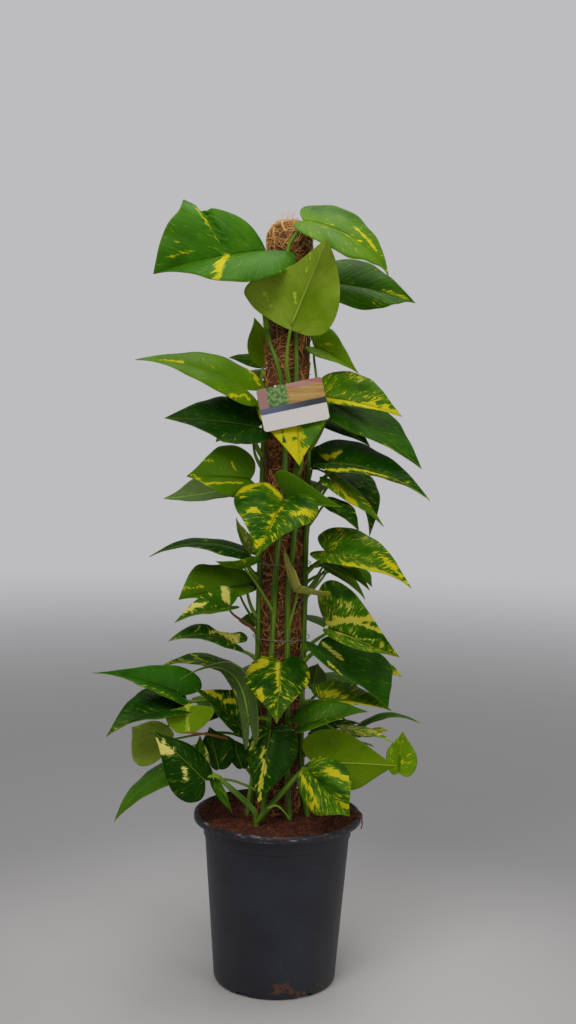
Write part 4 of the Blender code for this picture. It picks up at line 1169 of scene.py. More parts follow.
def mark_strength(mark, places, length, reach):
    """How much of a mark each place gets: 1 along its middle, fading raggedly outwards."""
    size = np.array((length, reach))
    shift = [
        noise.noise_vector(Vector((x, y, length)) * MARK_RAG) for x, y in places.reshape(-1, 2)
    ]
    places = places + np.array(shift)[:, :2].reshape(places.shape) * mark.width * MM * MARK_SWAY
    start = np.array(mark.start, float) * size
    way = np.array(mark.end, float) * size - start
    share = np.clip(((places - start) @ way) / max(way @ way, 1e-9), 0, 1)
    away = np.linalg.norm(places - start - share[..., None] * way, axis=-1)
    return np.exp(-((away / (mark.width * MM * MARK_SOFTNESS)) ** 2))


def half_outline(form):
    """A half's outline: one of its own, or OUTLINE made fuller and moved forward."""
    if len(form) > 2:
        return form
    full, forward = form
    form = []
    for along, out, foot in OUTLINE:
        if along > WIDEST_SHARE:
            out += full * FULLER * 4 * along * (1 - along)
            along += forward * (1 - along) / (1 - WIDEST_SHARE)
        elif out > 0:
            along += forward * out
        form.append((along, out, foot))
    return form


def half_margin(form, length, reach):
    """A half's margin, evenly spaced, and its length. Each point is as in OUTLINE, in metres."""
    margin = smooth_route([(along * length, out * reach, foot) for along, out, foot in form], 12)
    margin_run = np.linalg.norm(np.diff(margin[:, :2], axis=0), axis=1).sum()
    stations = max(14, round(margin_run / STATION_STEP))
    margin = evenly(margin * (1, 1, FOOT_WEIGHT), stations + 1) * (1, 1, 1 / FOOT_WEIGHT)
    return margin, margin_run


def half_blade(build, leaf, look, side, number):
    """One half of a blade, from the midrib to the margin. side is 1 on the left."""
    base, tip, left, right, up = leaf_axes(leaf)
    length = np.linalg.norm(tip - base)
    reach = (left if side > 0 else right) - midrib_point(leaf, WIDEST_SHARE)
    reach_size = np.linalg.norm(reach)
    form = half_outline(look.left if side > 0 else look.right)
    margin, margin_run = half_margin(form, length, reach_size)
    stations = len(margin) - 1
    spread = max(4, round(reach_size / ACROSS_STEP))
    share = np.linspace(0, 1, spread + 1)[None, :]
    ends = margin / (length, reach_size, 1)
    foot = np.clip(ends[:, 2:3], 0, 1)
    forward = foot + (ends[:, 0:1] - foot) * share
    out = ends[:, 1:2] * share
    rise = 4 * out * (1 - out) * leaf.bulge * reach_size
    points = midrib_point(leaf, forward) + reach * out[..., None] + up * rise[..., None]

    run = np.linspace(0, margin_run, stations + 1)[:, None] + 0 * share
    phase = number * WAVE_PHASE + side
    pleat = -np.cos(math.tau * run / VEIN_SPACING) * np.sin(math.pi * share) * PLEAT_DEPTH
    ripple = np.sin(math.tau * run / (WAVE_LONG * margin_run) + phase) * share**2.5
    ripple = ripple + 0.5 * np.sin(math.tau * run / (WAVE_SHORT * margin_run) + 2 * phase) * share**4
    calm = np.sin(math.pi * np.linspace(0, 1, stations + 1))[:, None]
    points = points + up * (pleat + ripple * calm * WAVE_SHARE * look.wave * reach_size)[..., None]

    places = np.stack([forward * length, side * out * reach_size], -1)
    gold = np.full(forward.shape, GOLD_FLOOR + GOLD_SPAN * look.marble)
    green = np.full(forward.shape, look.green)
    for mark in look.marks:
        strength = mark.gold * mark_strength(mark, places, length, reach_size)
        gold = gold + GOLD_MARK * strength
        green = green + GREEN_MARK * np.minimum(strength, 0)
    for fold in look.folds:
        dent = fold.gold * MM * mark_strength(fold, places, length, reach_size) * np.sqrt(share)
        points = points + up * dent[..., None]
    spans = np.linalg.norm(points - points[:, :1], axis=-1)
    runs = np.stack([run + number * VEIN_SPACING * VEINS_BETWEEN, side * spans], -1)
    edge = np.broadcast_to(share, forward.shape)

    wide = spread + 1
    faces = []
    for i in range(stations):
        for j in range(spread):
            a, b, c, d = i * wide + j, i * wide + j + 1, (i + 1) * wide + j + 1, (i + 1) * wide + j
            faces.append((a, b, c, d) if side > 0 else (d, c, b, a))
    build.grow(
        points.reshape(-1, 3), faces, runs.reshape(-1, 2), 0,
        green=green.ravel(), gold=gold.ravel(), cream=look.cream, edge=edge.ravel(),
        warm=look.warm,
    )


def joined(objects, name):
    """The objects as one, under a new name."""
    with bpy.context.temp_override(
        active_object=objects[0], object=objects[0], selected_objects=objects,
        selected_editable_objects=objects,
    ):
        bpy.ops.object.join()
    objects[0].name = name
    objects[0].data.name = name
    return objects[0]


def new_object(name, mesh, *finishes):
    """The mesh as an object of the scene, with its finishes in their slots."""
    made = bpy.data.objects.new(name, mesh)
    bpy.context.scene.collection.objects.link(made)
    for finish in finishes:
        mesh.materials.append(finish)
    return made


def applied(thing):
    """Turns the object's modifiers into its mesh."""
    graph = bpy.context.evaluated_depsgraph_get()
    mesh = bpy.data.meshes.new_from_object(thing.evaluated_get(graph))
    thing.modifiers.clear()
    old = thing.data
    thing.data = mesh
    if isinstance(old, bpy.types.Mesh):
        bpy.data.meshes.remove(old)
    return thing


def round_the_pole(azimuth, distance, height):
    """A point of a stem's route, in metres."""
    angle = math.radians(azimuth)
    return np.array((distance * math.cos(angle), distance * math.sin(angle), height)) * MM


def stem_route(stem, steps=8):
    """The middle of a stem, from the mix to its top leaf."""
    return smooth_route([round_the_pole(*spot) for spot in STEM_ROUTES[stem]], steps)


def stem_point(stem, height):
    """The point of a stem's middle at a height, or its end if that is lower."""
    route = stem_route(stem)
    for low, high in zip(route, route[1:]):
        if low[2] <= height <= high[2]:
            return low + (high - low) * (height - low[2]) / (high[2] - low[2])
    return route[-1]


def petiole_route(stem, leaf, steps=14):
    """From inside the stem to the foot of the midrib, in one bend."""
    base, tip, _, _, up = leaf_axes(leaf)
    start = stem_point(stem, leaf.root * MM)
    end = midrib_point(leaf, MIDRIB_FOOT)
    span = np.linalg.norm(end - start)
    if leaf.via:
        middle = (np.array(leaf.via) * MM * 8 - start - end) / 6
        bends = (middle, middle)
    else:
        out = unit(np.array((start[0], start[1], 0)))
        bends = (
            start + (out * PETIOLE_OUT + np.array((0, 0, PETIOLE_RISE))) * span,
            end - (unit(tip - base) * PETIOLE_UNDER + up * PETIOLE_RISE) * span,
        )
    t = np.linspace(0, 1, steps + 1)[:, None]
    return (
        start * (1 - t) ** 3 + bends[0] * 3 * t * (1 - t) ** 2
        + bends[1] * 3 * t**2 * (1 - t) + end * t**3
    )


def petiole(build, stem, leaf):
    """The leaf's stalk, thick at its sheath, and the rib that it runs into."""
    route = petiole_route(stem, leaf)
    share = np.linspace(0, 1, len(route))
    length = np.linalg.norm(np.subtract(leaf.tip, leaf.base))
    size = min(PETIOLE_SIZES[1], max(PETIOLE_SIZES[0], length / COMMON_LENGTH))
    radii = (PETIOLE_RADIUS_LOW + (PETIOLE_RADIUS_HIGH - PETIOLE_RADIUS_LOW) * share) * size
    radii = radii + PETIOLE_SHEATH * np.exp(-((share / SHEATH_SHARE) ** 2)) - 0.0004 * (share > 0.97)
    rod(build, route, radii, 10, 0, gold=leaf_brown(stem, leaf))
    ends = np.linspace(MIDRIB_FOOT, RIB_END, 14)
    up = leaf_axes(leaf)[4]
    thick = np.linspace(1, RIB_TAPER, len(ends)) * RIB_RADIUS * size
    rib = midrib_point(leaf, ends) - up * (thick * 0.75)[:, None]
    rod(build, rib, thick, 6, 0, cream=RIB_CREAM)


def leaf_brown(stem, leaf):
    """1 for a petiole that has turned brown."""
    return 1.0 if (stem, leaf.root) in BROWN_PETIOLES else 0.0


def stem_body(build, stem):
    """A stem with a knuckle where each petiole leaves it, thinner in its last fifth."""
    route = evenly(stem_route(stem), max(20, round(len(STEM_ROUTES[stem]) * 14)))
    knots = [stem_point(stem, leaf.root * MM) for leaf in LEAVES[stem]]
    radii = []
    for number, spot in enumerate(route):
        past = max(0.0, number / (len(route) - 1) - 0.8) / 0.2
        radius = STEM_RADIUS * (1 - STEM_TAPER * past)
        near = min(np.linalg.norm(spot - knot) for knot in knots)
        radii.append(radius * (STEM_SLIM + KNUCKLE_SWELL * math.exp(-((near / KNUCKLE_REACH) ** 2))))
    rod(build, route, radii, 12, 1)


def aerial_roots(build, stem, draw):
    """Short roots that run from the knuckles into the coir."""
    for leaf in LEAVES[stem]:
        if leaf.root < ROOT_LOWEST:
            continue
        start = stem_point(stem, leaf.root * MM)
        for _ in range(2):
            turn = math.atan2(start[1], start[0]) + draw.choice((-1, 1)) * draw.uniform(*ROOT_TURN)
            drop = draw.uniform(*ROOT_DROP)
            route = [start]
            for distance, fall in zip(ROOT_DISTANCES, (drop / 2, drop)):
                route.append((distance * math.cos(turn), distance * math.sin(turn), start[2] - fall))
            rod(build, smooth_route(route, 4), np.linspace(*ROOT_RADII, 9), 6, 2)


def vine(name, stems, finishes):
    """One leafy stem, or the two stems of the low one, as a single piece."""
    sheet, rods = Build(), Build()
    draw = random.Random(name)
    for stem in stems:
        for number, (leaf, look) in enumerate(zip(LEAVES[stem], LOOKS[stem])):
            for side in (1, -1):
                half_blade(sheet, leaf, look, side, number)
            petiole(rods, stem, leaf)
        stem_body(rods, stem)
        aerial_roots(rods, stem, draw)
    if name == "vine_low":
        sprout = smooth_route(np.array(SPROUT) * MM, 5)
        rod(rods, sprout, np.linspace(*SPROUT_RADII, len(sprout)), 8, 0)
    blades = new_object("blades", sheet.mesh("blades"), finishes["under"], finishes["leaf"])
    weld = blades.modifiers.new("weld", "WELD")
    weld.merge_threshold = WELD_DISTANCE
    wall = blades.modifiers.new("thickness", "SOLIDIFY")
    wall.thickness = BLADE_THICKNESS
    wall.offset = 0
    wall.material_offset = 1
    applied(blades)
    stalks = new_object(
        "stalks", rods.mesh("stalks"), finishes["petiole"], finishes["stem"], finishes["root"]
    )
    made = joined([blades, stalks], f"{name}_live")
    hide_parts(name)
    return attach(made, "root")


def arc(centre, radius, start, end, steps):
    """Points of an arc in a turned profile, with its angles in degrees."""
    angles = [math.radians(start + (end - start) * i / steps) for i in range(steps + 1)]
    return [(centre[0] + radius * math.cos(a), centre[1] + radius * math.sin(a)) for a in angles]


def turned(name, profile, sides, *finishes):
    """A closed profile of (radius, height) points, turned about the plant's axis."""
    work = bmesh.new()
    rings = []
    for radius, height in profile:
        if radius < 1e-6:
            rings.append([work.verts.new((0, 0, height))] * sides)
            continue
        ring = []
        for k in range(sides):
            angle = math.tau * k / sides
            ring.append(work.verts.new((radius * math.cos(angle), radius * math.sin(angle), height)))
        rings.append(ring)
    for low, high in zip(rings, rings[1:]):
        for k in range(sides):
            nxt = (k + 1) % sides
            corners = list(dict.fromkeys((low[k], low[nxt], high[nxt], high[k])))
            if len(corners) > 2:
                work.faces.new(corners)
    bmesh.ops.recalc_face_normals(work, faces=work.faces)
    for face in work.faces:
        face.smooth = True
    mesh = bpy.data.meshes.new(name)
    work.to_mesh(mesh)
    work.free()
    return new_object(name, mesh, *finishes)


def wall_radius(height):
    """The pot body's outer radius below the collar."""
    return POT_BASE_RADIUS + (POT_COLLAR_RADIUS - POT_STEP - POT_BASE_RADIUS) * height / COLLAR_FOOT


def pot(finish):
    """The nursery pot: tapered wall, collar, rolled rim and drain notches in the foot."""
    collar_top = POT_HEIGHT - POT_RIM_HEIGHT
    inner = POT_COLLAR_RADIUS - POT_WALL
    roll = POT_LIP
    edge = POT_EDGE_ROUND
    sill = POT_SILL_ROUND
    foot = POT_COLLAR_FOOT_ROUND
    profile = [
        (0, POT_FLOOR),
        (wall_radius(POT_FLOOR) - POT_WALL - POT_FLOOR_ROUND, POT_FLOOR),
        (wall_radius(POT_FLOOR) - POT_WALL, POT_FLOOR + POT_FLOOR_ROUND),
        (wall_radius(COLLAR_FOOT) - POT_WALL, COLLAR_FOOT),
        (inner, COLLAR_FOOT + POT_STEP),
        (inner, collar_top + roll),
        (POT_MOUTH_RADIUS, POT_HEIGHT - roll),
        *arc((POT_MOUTH_RADIUS + roll, POT_HEIGHT - roll), roll, 180, 90, 4),
        *arc((POT_RIM_RADIUS - 2 * roll, POT_HEIGHT - 2 * roll), 2 * roll, 90, 0, 6),
        (POT_RIM_RADIUS, collar_top + edge),
        *arc((POT_RIM_RADIUS - edge, collar_top + edge), edge, 0, -90, 2),
        (POT_RIM_RADIUS - POT_WALL, collar_top),
        (POT_RIM_RADIUS - POT_WALL - POT_UNDERCUT, collar_top + POT_UNDERCUT),
        (POT_COLLAR_RADIUS + sill, collar_top + POT_UNDERCUT),
        *arc((POT_COLLAR_RADIUS + sill, collar_top + POT_UNDERCUT - sill), sill, 90, 180, 4),
        (POT_COLLAR_RADIUS, COLLAR_FOOT + POT_UNDERCUT),
        *arc((POT_COLLAR_RADIUS - foot, COLLAR_FOOT + POT_UNDERCUT), foot, 0, -90, 3),
        (wall_radius(COLLAR_FOOT), COLLAR_FOOT - POT_STEP / 2),
        *[(wall_radius(h), h) for h in np.linspace(COLLAR_FOOT - 0.004, POT_FOOT_ROUND, 18)],
        *arc((wall_radius(0) - POT_FOOT_ROUND, POT_FOOT_ROUND), POT_FOOT_ROUND, -8, -90, 6),
        (0, 0),
    ]
    body = turned("nursery_pot", profile, POT_SIDES, finish)
    for number in range(DRAIN_COUNT):
        angle = math.tau * number / DRAIN_COUNT
        bpy.ops.mesh.primitive_cube_add(size=1)
        notch = bpy.context.active_object
        notch.scale = DRAIN_SIZE
        notch.rotation_euler.z = angle
        notch.location = Vector((math.cos(angle), math.sin(angle), 0)) * POT_BASE_RADIUS
        cut = body.modifiers.new("drain", "BOOLEAN")
        cut.operation = "DIFFERENCE"
        cut.object = notch
        applied(body)
        bpy.data.objects.remove(notch, do_unlink=True)
    crease(body, 35)
    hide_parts("pot")
    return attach(body, "root")


def crease(thing, degrees):
    """Keeps edges sharper than an angle crisp under smooth shading."""
    work = bmesh.new()
    work.from_mesh(thing.data)
    limit = math.radians(degrees)
    for edge in work.edges:
        edge.smooth = edge.calc_face_angle(0.0) < limit
    work.to_mesh(thing.data)
    work.free()


def mix_body(finish):
    """The potting mix: a crumbly top over the root ball that the pot holds."""
    bottom = POT_FLOOR + MIX_CLEARANCE
    top = [
        (MIX_RADIUS * share, MIX_TOP + MIX_CROWN * (1 - share**2))
        for share in np.linspace(MIX_FIRST_RING, 1, MIX_RINGS)
    ]
    profile = [
        (0, bottom),
        (wall_radius(bottom) - POT_WALL - 0.0035, bottom),
        (wall_radius(COLLAR_FOOT) - POT_WALL - 0.0004, COLLAR_FOOT),
        (MIX_NECK_RADIUS, COLLAR_FOOT + POT_STEP),
        (MIX_NECK_RADIUS, POT_HEIGHT - POT_RIM_HEIGHT + POT_LIP),
        *top[::-1],
        (0, MIX_TOP + MIX_CROWN),
    ]
    body = turned("potting_mix", profile, MIX_SIDES, finish)
    for vertex in body.data.vertices:
        if vertex.co.z > MIX_TOP - 0.001:
            near_wall = min(1, (MIX_RADIUS - math.hypot(*vertex.co.xy)) / 0.006)
            lump = noise.noise(vertex.co * 70) + 0.8 * noise.noise(vertex.co * 190)
            vertex.co.z += MIX_ROUGH * lump * (0.25 + 0.75 * near_wall)
    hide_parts("soil")
    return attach(body, "root")


class Nodes:
    """A Geometry Nodes tree being built, with named inputs."""

    def __init__(self, name):
        self.tree = bpy.data.node_groups.new(name, "GeometryNodeTree")
        self.tree.interface.new_socket("Geometry", in_out="INPUT", socket_type="NodeSocketGeometry")
        self.tree.interface.new_socket("Geometry", in_out="OUTPUT", socket_type="NodeSocketGeometry")
        self.source = self.tree.nodes.new("NodeGroupInput")
        self.sink = self.tree.nodes.new("NodeGroupOutput")

    def input(self, name, kind, value):
        socket = self.tree.interface.new_socket(name, in_out="INPUT", socket_type=kind)
        socket.default_value = value
        return self.source.outputs[name]

    def add(self, kind, settings=None, **inputs):
        """Adds a node. inputs name its sockets, with _ for a space."""
        node = self.tree.nodes.new(kind)
        for key, value in (settings or {}).items():
            setattr(node, key, value)
        for key, value in inputs.items():
            self.give(node, key.replace("_", " "), value)
        return node

    def give(self, node, key, value):
        socket = node.inputs[key]
        if isinstance(value, bpy.types.NodeSocket):
            self.tree.links.new(value, socket)
        else:
            socket.default_value = value


def scatter_tree(name, scrap, finish, lie):
    """Scrap objects scattered over a surface, turned and sized at random."""
    nodes = Nodes(name)
    density = nodes.input("Density", "NodeSocketFloat", lie.density)
    seed = nodes.input("Seed", "NodeSocketInt", lie.seed)
    small = nodes.input("Smallest", "NodeSocketFloat", lie.size[0])
    large = nodes.input("Largest", "NodeSocketFloat", lie.size[1])
    tilt = nodes.input("Tilt", "NodeSocketFloat", lie.tilt)
    allowed = nodes.add("GeometryNodeInputNamedAttribute", {"data_type": "FLOAT"}, Name="scatter")
    amount = nodes.add("ShaderNodeMath", {"operation": "MULTIPLY"})
    nodes.tree.links.new(density, amount.inputs[0])
    nodes.tree.links.new(allowed.outputs[0], amount.inputs[1])
    points = nodes.add(
        "GeometryNodeDistributePointsOnFaces", None,
        Mesh=nodes.source.outputs["Geometry"], Density=amount.outputs[0], Seed=seed,
    )
    spin = nodes.add("FunctionNodeRandomValue", {"data_type": "FLOAT_VECTOR"}, Seed=seed)
    back = nodes.add("ShaderNodeVectorMath", {"operation": "SCALE"})
    limits = nodes.add("ShaderNodeCombineXYZ")
    nodes.tree.links.new(tilt, limits.inputs[0])
    nodes.tree.links.new(tilt, limits.inputs[1])
    limits.inputs[2].default_value = math.pi
    nodes.tree.links.new(limits.outputs[0], back.inputs[0])
    back.inputs["Scale"].default_value = -1.0
    nodes.tree.links.new(back.outputs[0], spin.inputs[0])
    nodes.tree.links.new(limits.outputs[0], spin.inputs[1])
    turn = nodes.add("FunctionNodeRotateEuler", {"space": "LOCAL"})
    nodes.tree.links.new(points.outputs["Rotation"], turn.inputs[0])
    nodes.tree.links.new(spin.outputs[0], turn.inputs["Rotate By"])
    scale = nodes.add("FunctionNodeRandomValue", {"data_type": "FLOAT"}, Seed=seed)
    nodes.tree.links.new(small, scale.inputs[2])
    nodes.tree.links.new(large, scale.inputs[3])
    shape = nodes.add("GeometryNodeObjectInfo", None, Object=scrap)
    copies = nodes.add(
        "GeometryNodeInstanceOnPoints", None,
        Points=points.outputs["Points"], Instance=shape.outputs["Geometry"],
        Rotation=turn.outputs[0], Scale=scale.outputs[1],
    )
    real = nodes.add("GeometryNodeRealizeInstances", None, Geometry=copies.outputs[0])
    painted = nodes.add("GeometryNodeSetMaterial", None, Geometry=real.outputs[0], Material=finish)
    nodes.tree.links.new(painted.outputs[0], nodes.sink.inputs["Geometry"])
    return nodes.tree


def scattered(name, body, rule, scrap, finish, lie):
    """Scraps over a body's surface, where the rule gives 1, as a piece of their own."""
    surface = body.data.copy()
    allow_scatter(surface, rule)
    made = new_object(name, surface)
    step = made.modifiers.new("scatter", "NODES")
    step.node_group = scatter_tree(name, scrap, finish, lie)
    applied(made)
    made.data.materials.clear()
    made.data.materials.append(finish)
    made.data.polygons.foreach_set("use_smooth", [True] * len(made.data.polygons))
    bpy.data.objects.remove(scrap, do_unlink=True)
    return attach(made, "root")


def allow_scatter(mesh, rule):
    """Marks where scraps may lie: rule gives 0 to 1 for each point."""
    kept = mesh.attributes.new("scatter", "FLOAT", "POINT")
    kept.data.foreach_set("value", [float(rule(v.co)) for v in mesh.vertices])


def fibre_scrap(length, radius, bow):
    """One bowed fibre, three-sided, lying along X."""
    build = Build()
    share = np.linspace(-1, 1, 6)
    route = np.stack([share * length / 2, bow * (1 - share**2) * 0.6, bow * (1 - share**2)], 1)
    rod(build, route, radius * (1.05 - share**2 * 0.5), 3, 0)
    return new_object("fibre", build.mesh("fibre"))


def bark_scrap():
    """One rough crumb of bark."""
    bpy.ops.mesh.primitive_ico_sphere_add(subdivisions=1, radius=0.5)
    crumb = bpy.context.active_object
    for vertex in crumb.data.vertices:
        vertex.co *= 1 + 0.5 * noise.noise(vertex.co * 3)
        vertex.co.z *= 0.55
        vertex.co.x *= 1.5
    return crumb


def coir_felt(finish):
    """The pole's felt: a lumpy, domed sleeve round the stake."""
    radius = COIR_RADIUS - FELT_DEPTH
    inner = STAKE_RADIUS + STAKE_CLEARANCE
    profile = [(0, STAKE_TOP), (inner, STAKE_TOP), (inner, COIR_BOTTOM)]
    profile += [(radius, h) for h in np.linspace(COIR_BOTTOM, COIR_SHOULDER, FELT_ROWS)]
    for step in range(1, DOME_ROWS + 1):
        angle = math.pi / 2 * step / DOME_ROWS
        rise = (COIR_DOME - FELT_DEPTH) * math.sin(angle)
        profile.append((radius * math.cos(angle), COIR_SHOULDER + rise))
    profile[-1] = (0, profile[-1][1])
    body = turned("coir_pole", profile, FELT_SIDES, finish)
    for vertex in body.data.vertices:
        spot = vertex.co
        if math.hypot(spot.x, spot.y) < (inner + radius) / 2 and spot.z < COIR_SHOULDER:
            continue
        lump = noise.noise(spot * 55) * 1.1 + noise.noise(spot * 160) * 0.7
        outward = Vector((spot.x, spot.y, max(0.0, spot.z - COIR_SHOULDER))).normalized()
        vertex.co += outward * lump * FELT_LUMP
    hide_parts("coir_sleeve")
    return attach(body, "root")


def coir_pole(core_finish, fibre_finish, crown_finish):
    """The pole's coir: the felt with loose fibres all over it and a frayed, tangled top."""
    body = coir_felt(core_finish)
    fibres = scattered(
        "coir_fibres", body, shows_on_pole, fibre_scrap(*POLE_FIBRE), fibre_finish, POLE_SCATTER
    )
    fray = scattered(
        "coir_fray", body, lambda spot: spot.z > COIR_SHOULDER - 0.004, fibre_scrap(*FRAY_FIBRE),
        fibre_finish, FRAY_SCATTER,
    )
    tangle = new_object("coir_tangle", coir_tangle().mesh("coir_tangle"), crown_finish)
    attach(tangle, "root")


def shows_on_pole(spot):
    """Whether a point of the felt can be seen: on its outer wall above the mix, or its top."""
    outside = spot.z > MIX_TOP - 0.004 and math.hypot(spot.x, spot.y) > 0.015
    return outside or spot.z > COIR_SHOULDER


def coir_tangle():
    """Thick, curling strands round the pole's top, and a few that stand up from it."""
    build = Build()
    draw = random.Random(21)
    for _ in range(TANGLE_COUNT):
        tangled_strand(build, draw)
    for _ in range(STRAY_COUNT):
        stray_strand(build, draw)
    return build


def tangled_strand(build, draw):
    """A strand that wanders over the pole's top in one curl, just clear of the felt."""
    turn, height = draw.uniform(0, math.tau), draw.uniform(COIR_SHOULDER - TANGLE_DEPTH, COIR_TOP)
    way, curl = draw.uniform(0, math.tau), draw.gauss(0, TANGLE_CURL)
    lift = draw.uniform(0, TANGLE_LIFT)
    route = []
    for _ in range(TANGLE_STEPS):
        rise = min(0.98, max(0, height - COIR_SHOULDER) / COIR_DOME)
        radius = COIR_RADIUS * math.sqrt(1 - rise**2) + lift
        route.append((radius * math.cos(turn), radius * math.sin(turn), height + lift))
        turn += TANGLE_STEP * math.cos(way) / max(radius, 0.006)
        climb = TANGLE_STEP * math.sin(way) * math.sqrt(1 - 0.8 * rise**2)
        height = min(COIR_TOP, height + climb)
        way += curl * TANGLE_STEP
        lift += draw.uniform(-TANGLE_WANDER, TANGLE_WANDER)
    thick = np.linspace(*TANGLE_RADII, TANGLE_STEPS) * draw.uniform(0.5, 1.1)
    # Painted shade: strands close to the felt get darker tones
    rod(build, route, thick, 5, 0, gold=draw.uniform(0, 0.6) + TANGLE_LIFT_PAINTED_LIGHT * lift)


def stray_strand(build, draw):
    """A fine strand that stands up from the dome and leans outwards."""
    turn, lean = draw.uniform(0, math.tau), draw.uniform(0.1, 0.9)
    side = np.array((math.cos(turn), math.sin(turn), 0))
    low = COIR_TOP - COIR_DOME * (1 - math.sqrt(1 - lean**2)) - 0.002
    foot = side * COIR_RADIUS * lean * 0.8 + (0, 0, low)
    reach = draw.uniform(*STRAY_REACH)
    middle = foot + side * reach * lean * 0.4 + (0, 0, reach * 0.5)
    end = foot + side * reach * lean + (draw.gauss(0, 0.003), 0, reach * (1 - 0.6 * lean))
    rod(build, smooth_route([foot, middle, end], 5), np.linspace(*STRAY_RADII, 11), 4, 0, gold=1.0)


def mix_crumbs(body, dark_finish, fibre_finish):
    """Bark crumbs and coir scraps on the mix."""
    crumbs = scattered(
        "bark_crumbs", body, on_the_mix(0.003), bark_scrap(), dark_finish, CRUMB_SCATTER
    )
    threads = scattered(
        "mix_fibres", body, on_the_mix(0.006), fibre_scrap(*MIX_FIBRE), fibre_finish, MIX_SCATTER
    )


def on_the_mix(margin):
    """A rule that allows scraps on top of the mix, but for a margin along the pot's wall."""
    reach = MIX_RADIUS - margin
    return lambda spot: spot.z > MIX_TOP - 0.004 and math.hypot(spot.x, spot.y) < reach


def hanging_fibres(finish):
    """Coir strands that hang over the pot's rim on the right."""
    build = Build()
    draw = random.Random(4)
    for _ in range(HANGING_COUNT):
        turn, fall = draw.uniform(*HANGING_TURN), draw.uniform(*HANGING_FALL)
        side = np.array((math.cos(turn), math.sin(turn), 0))
        ahead = np.array((0, -draw.uniform(0.0, 0.006), 0))
        route = [
            side * (POT_MOUTH_RADIUS - 0.010) + (0, 0, MIX_TOP),
            side * (POT_RIM_RADIUS - 0.002) + ahead * 0.5 + (0, 0, POT_HEIGHT + 0.0012),
            side * (POT_RIM_RADIUS + 0.002) + ahead + (0, 0, POT_HEIGHT - fall * 0.5),
            side * (POT_RIM_RADIUS + 0.0005) + ahead * 2 + (0, 0, POT_HEIGHT - fall),
        ]
        rod(build, smooth_route(route, 4), np.linspace(*HANGING_RADII, 13), 5, 0)
    hanging = new_object("hanging_fibres", build.mesh("hanging_fibres"), finish)
    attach(hanging, "root")


def ties(finish):
    """The threads round the pole and its stems, each a closed loop that sways a little."""
    for number, height in enumerate(TIE_HEIGHTS):
        build = Build()
        ring = []
        for a in np.linspace(0, math.tau, TIE_STEPS + 1)[:-1]:
            sway = TIE_SWAY * math.sin(3 * a + number)
            ring.append((TIE_RADIUS * math.cos(a), TIE_RADIUS * math.sin(a), height + sway))
        loop(build, ring, TIE_THREAD, 8)
        node = f"tie_{number + 1}"
        made = new_object(f"{node}_thread", build.mesh(node), finish)
        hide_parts(node)
        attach(made, "root")


def loop(build, ring, radius, sides):
    """A closed round thread through the ring's points."""
    count = len(ring)
    points, runs = [], []
    for i, spot in enumerate(ring):
        spot = np.array(spot)
        out = unit(np.array((spot[0], spot[1], 0)))
        for k in range(sides):
            angle = math.tau * k / sides
            points.append(spot + radius * (math.cos(angle) * out + math.sin(angle) * np.array((0, 0, 1))))
            runs.append((TIE_RUN * i, radius * angle))
    faces = []
    for i in range(count):
        for k in range(sides):
            a, b = i * sides, (i + 1) % count * sides
            nxt = (k + 1) % sides
            faces.append((a + nxt, a + k, b + k, b + nxt)[::-1])
    build.grow(points, faces, runs, 0)


def card(print_finish, stick_finish):
    """The flat card, leaning and turned a little, on the stick that holds it in the coir."""
    wide, high = CARD_SIZE
    turn = Matrix.Rotation(-CARD_ROLL, 3, "Y") @ Matrix.Rotation(math.pi / 2 - CARD_TILT, 3, "X")
    work = bmesh.new()
    corners = []
    for number, (x, y) in enumerate(((1, 1), (-1, 1), (-1, -1), (1, -1))):
        centre = (x * (wide / 2 - CARD_CORNER), y * (high / 2 - CARD_CORNER))
        corners += arc(centre, CARD_CORNER, 90 * number, 90 * number + 90, 6)
    outline = [work.verts.new((x, y, 0)) for x, y in corners]
    face = work.faces.new(outline)
    layer = work.loops.layers.uv.new("run")
    for corner in face.loops:
        spot = corner.vert.co
        corner[layer].uv = (spot.x / wide + 0.5, spot.y / high + 0.5)
    for vertex in work.verts:
        vertex.co = turn @ vertex.co + CARD_CENTRE
    mesh = bpy.data.meshes.new("card")
    work.to_mesh(mesh)
    work.free()
    sheet = new_object("card_sheet", mesh, print_finish, stick_finish)
    wall = sheet.modifiers.new("thickness", "SOLIDIFY")
    wall.thickness = CARD_THICKNESS
    wall.offset = 0
    wall.material_offset_rim = 1
    applied(sheet)
    build = Build()
    x, height = STICK_PLACE
    face_y = -math.sqrt(COIR_RADIUS**2 - x**2)
    route = [(x, face_y + STICK_DEPTH, height), (x, (face_y + CARD_CENTRE.y) / 2, height),
             (x, CARD_CENTRE.y + 0.0006, height)]
    rod(build, route, [STICK_RADIUS] * 3, 12, 0)
    stick = new_object("stick", build.mesh("stick"), stick_finish)
    made = joined([sheet, stick], "name_card")
    crease(made, 40)
    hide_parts("plant_card")
    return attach(made, "root")


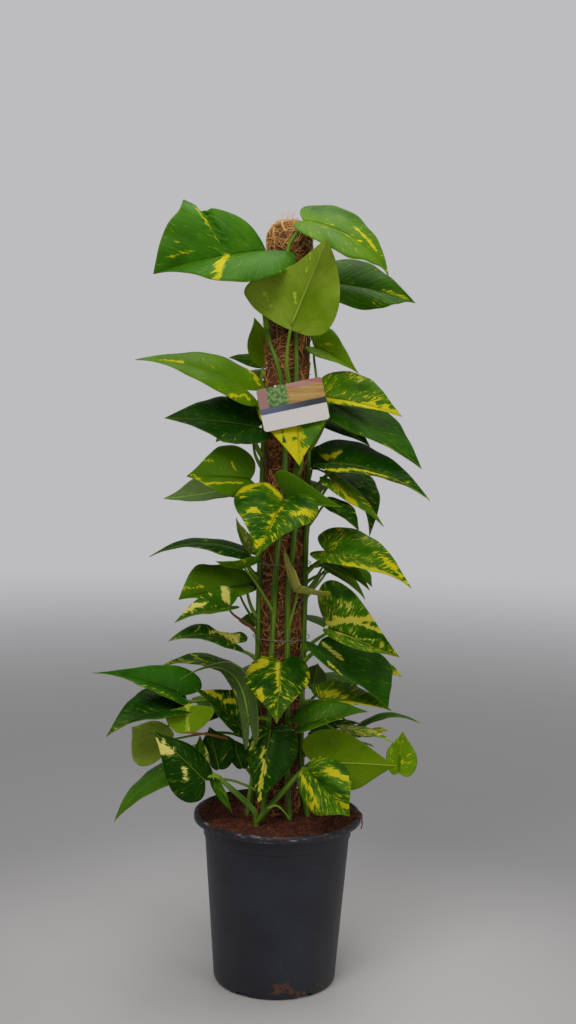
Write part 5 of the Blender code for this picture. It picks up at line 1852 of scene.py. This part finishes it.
def studio():
    """A pale floor, soft lights and the camera."""
    bpy.ops.mesh.primitive_circle_add(vertices=96, radius=FLOOR_FADE[1], fill_type="NGON")
    floor = bpy.context.active_object
    floor.name = "studio_floor"
    floor.data.materials.append(stage_finish())

    world = bpy.data.worlds.new("room")
    bpy.context.scene.world = world
    world.use_nodes = True
    sky = world.node_tree.nodes["Background"]
    sky.inputs["Color"].default_value = WORLD_COLOUR
    seen = world.node_tree.nodes.new("ShaderNodeLightPath")
    strength = world.node_tree.nodes.new("ShaderNodeMapRange")
    strength.inputs["To Min"].default_value = WORLD_LIGHT
    strength.inputs["To Max"].default_value = WORLD_SEEN
    world.node_tree.links.new(seen.outputs["Is Camera Ray"], strength.inputs["Value"])
    world.node_tree.links.new(strength.outputs[0], sky.inputs["Strength"])
    for name, place, aim, size, power in LIGHTS:
        lamp = bpy.data.lights.new(name, "AREA")
        lamp.shape = "RECTANGLE"
        lamp.size, lamp.size_y = size
        lamp.energy = power
        holder = bpy.data.objects.new(name, lamp)
        holder.location = place
        holder.rotation_euler = (Vector(aim) - Vector(place)).to_track_quat("-Z", "Y").to_euler()
        bpy.context.scene.collection.objects.link(holder)

    lens = bpy.data.cameras.new("camera")
    lens.lens = LENS
    lens.sensor_width = SENSOR
    lens.sensor_fit = "AUTO"
    camera = bpy.data.objects.new("camera", lens)
    turn = Matrix.Rotation(math.pi / 2 + CAMERA_PITCH, 4, "X") @ Matrix.Rotation(CAMERA_ROLL, 4, "Z")
    camera.matrix_world = Matrix.Translation(CAMERA_PLACE) @ turn
    bpy.context.scene.collection.objects.link(camera)
    bpy.context.scene.camera = camera
    bpy.context.scene.view_settings.view_transform = "Standard"


def main():
    """Builds the studio, the plant, its pole and its pot, in that order."""
    studio()
    finishes = {
        "leaf": leaf_finish(False),
        "under": leaf_finish(True),
        "petiole": petiole_finish(),
        "stem": stem_finish(),
        "root": root_finish(),
    }
    for name, stems in PLANTS.items():
        vine(name, stems, finishes)
    strands = coir_finish("coir strand", (0.16, 0.045, 0.010), (0.92, 0.40, 0.10), 190.0)
    crumbled = coir_finish("coir in the mix", (0.07, 0.014, 0.003), (0.30, 0.08, 0.02), 190.0)
    felt = coir_finish("coir felt", (0.030, 0.008, 0.003), (0.20, 0.060, 0.016), faded=0.2)
    coir_pole(felt, strands, tangle_finish())
    ground = mix_body(mix_finish("potting mix", (0.022, 0.004, 0.001), (0.15, 0.032, 0.007)))
    mix_crumbs(ground, mix_finish("bark", (0.03, 0.006, 0.002), (0.22, 0.048, 0.011)), crumbled)
    hanging_fibres(crumbled)
    pot(pot_finish())
    ties(thread_finish())
    card(card_finish(), Finish("card edge", Roughness=0.5, Base_Color=(0.72, 0.70, 0.66, 1)).material)
    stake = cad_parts["stake"]
    wood = coir_finish("stake wood", (0.30, 0.18, 0.09), (0.50, 0.35, 0.20))
    stake.data.materials.clear()
    stake.data.materials.append(wood)


main()
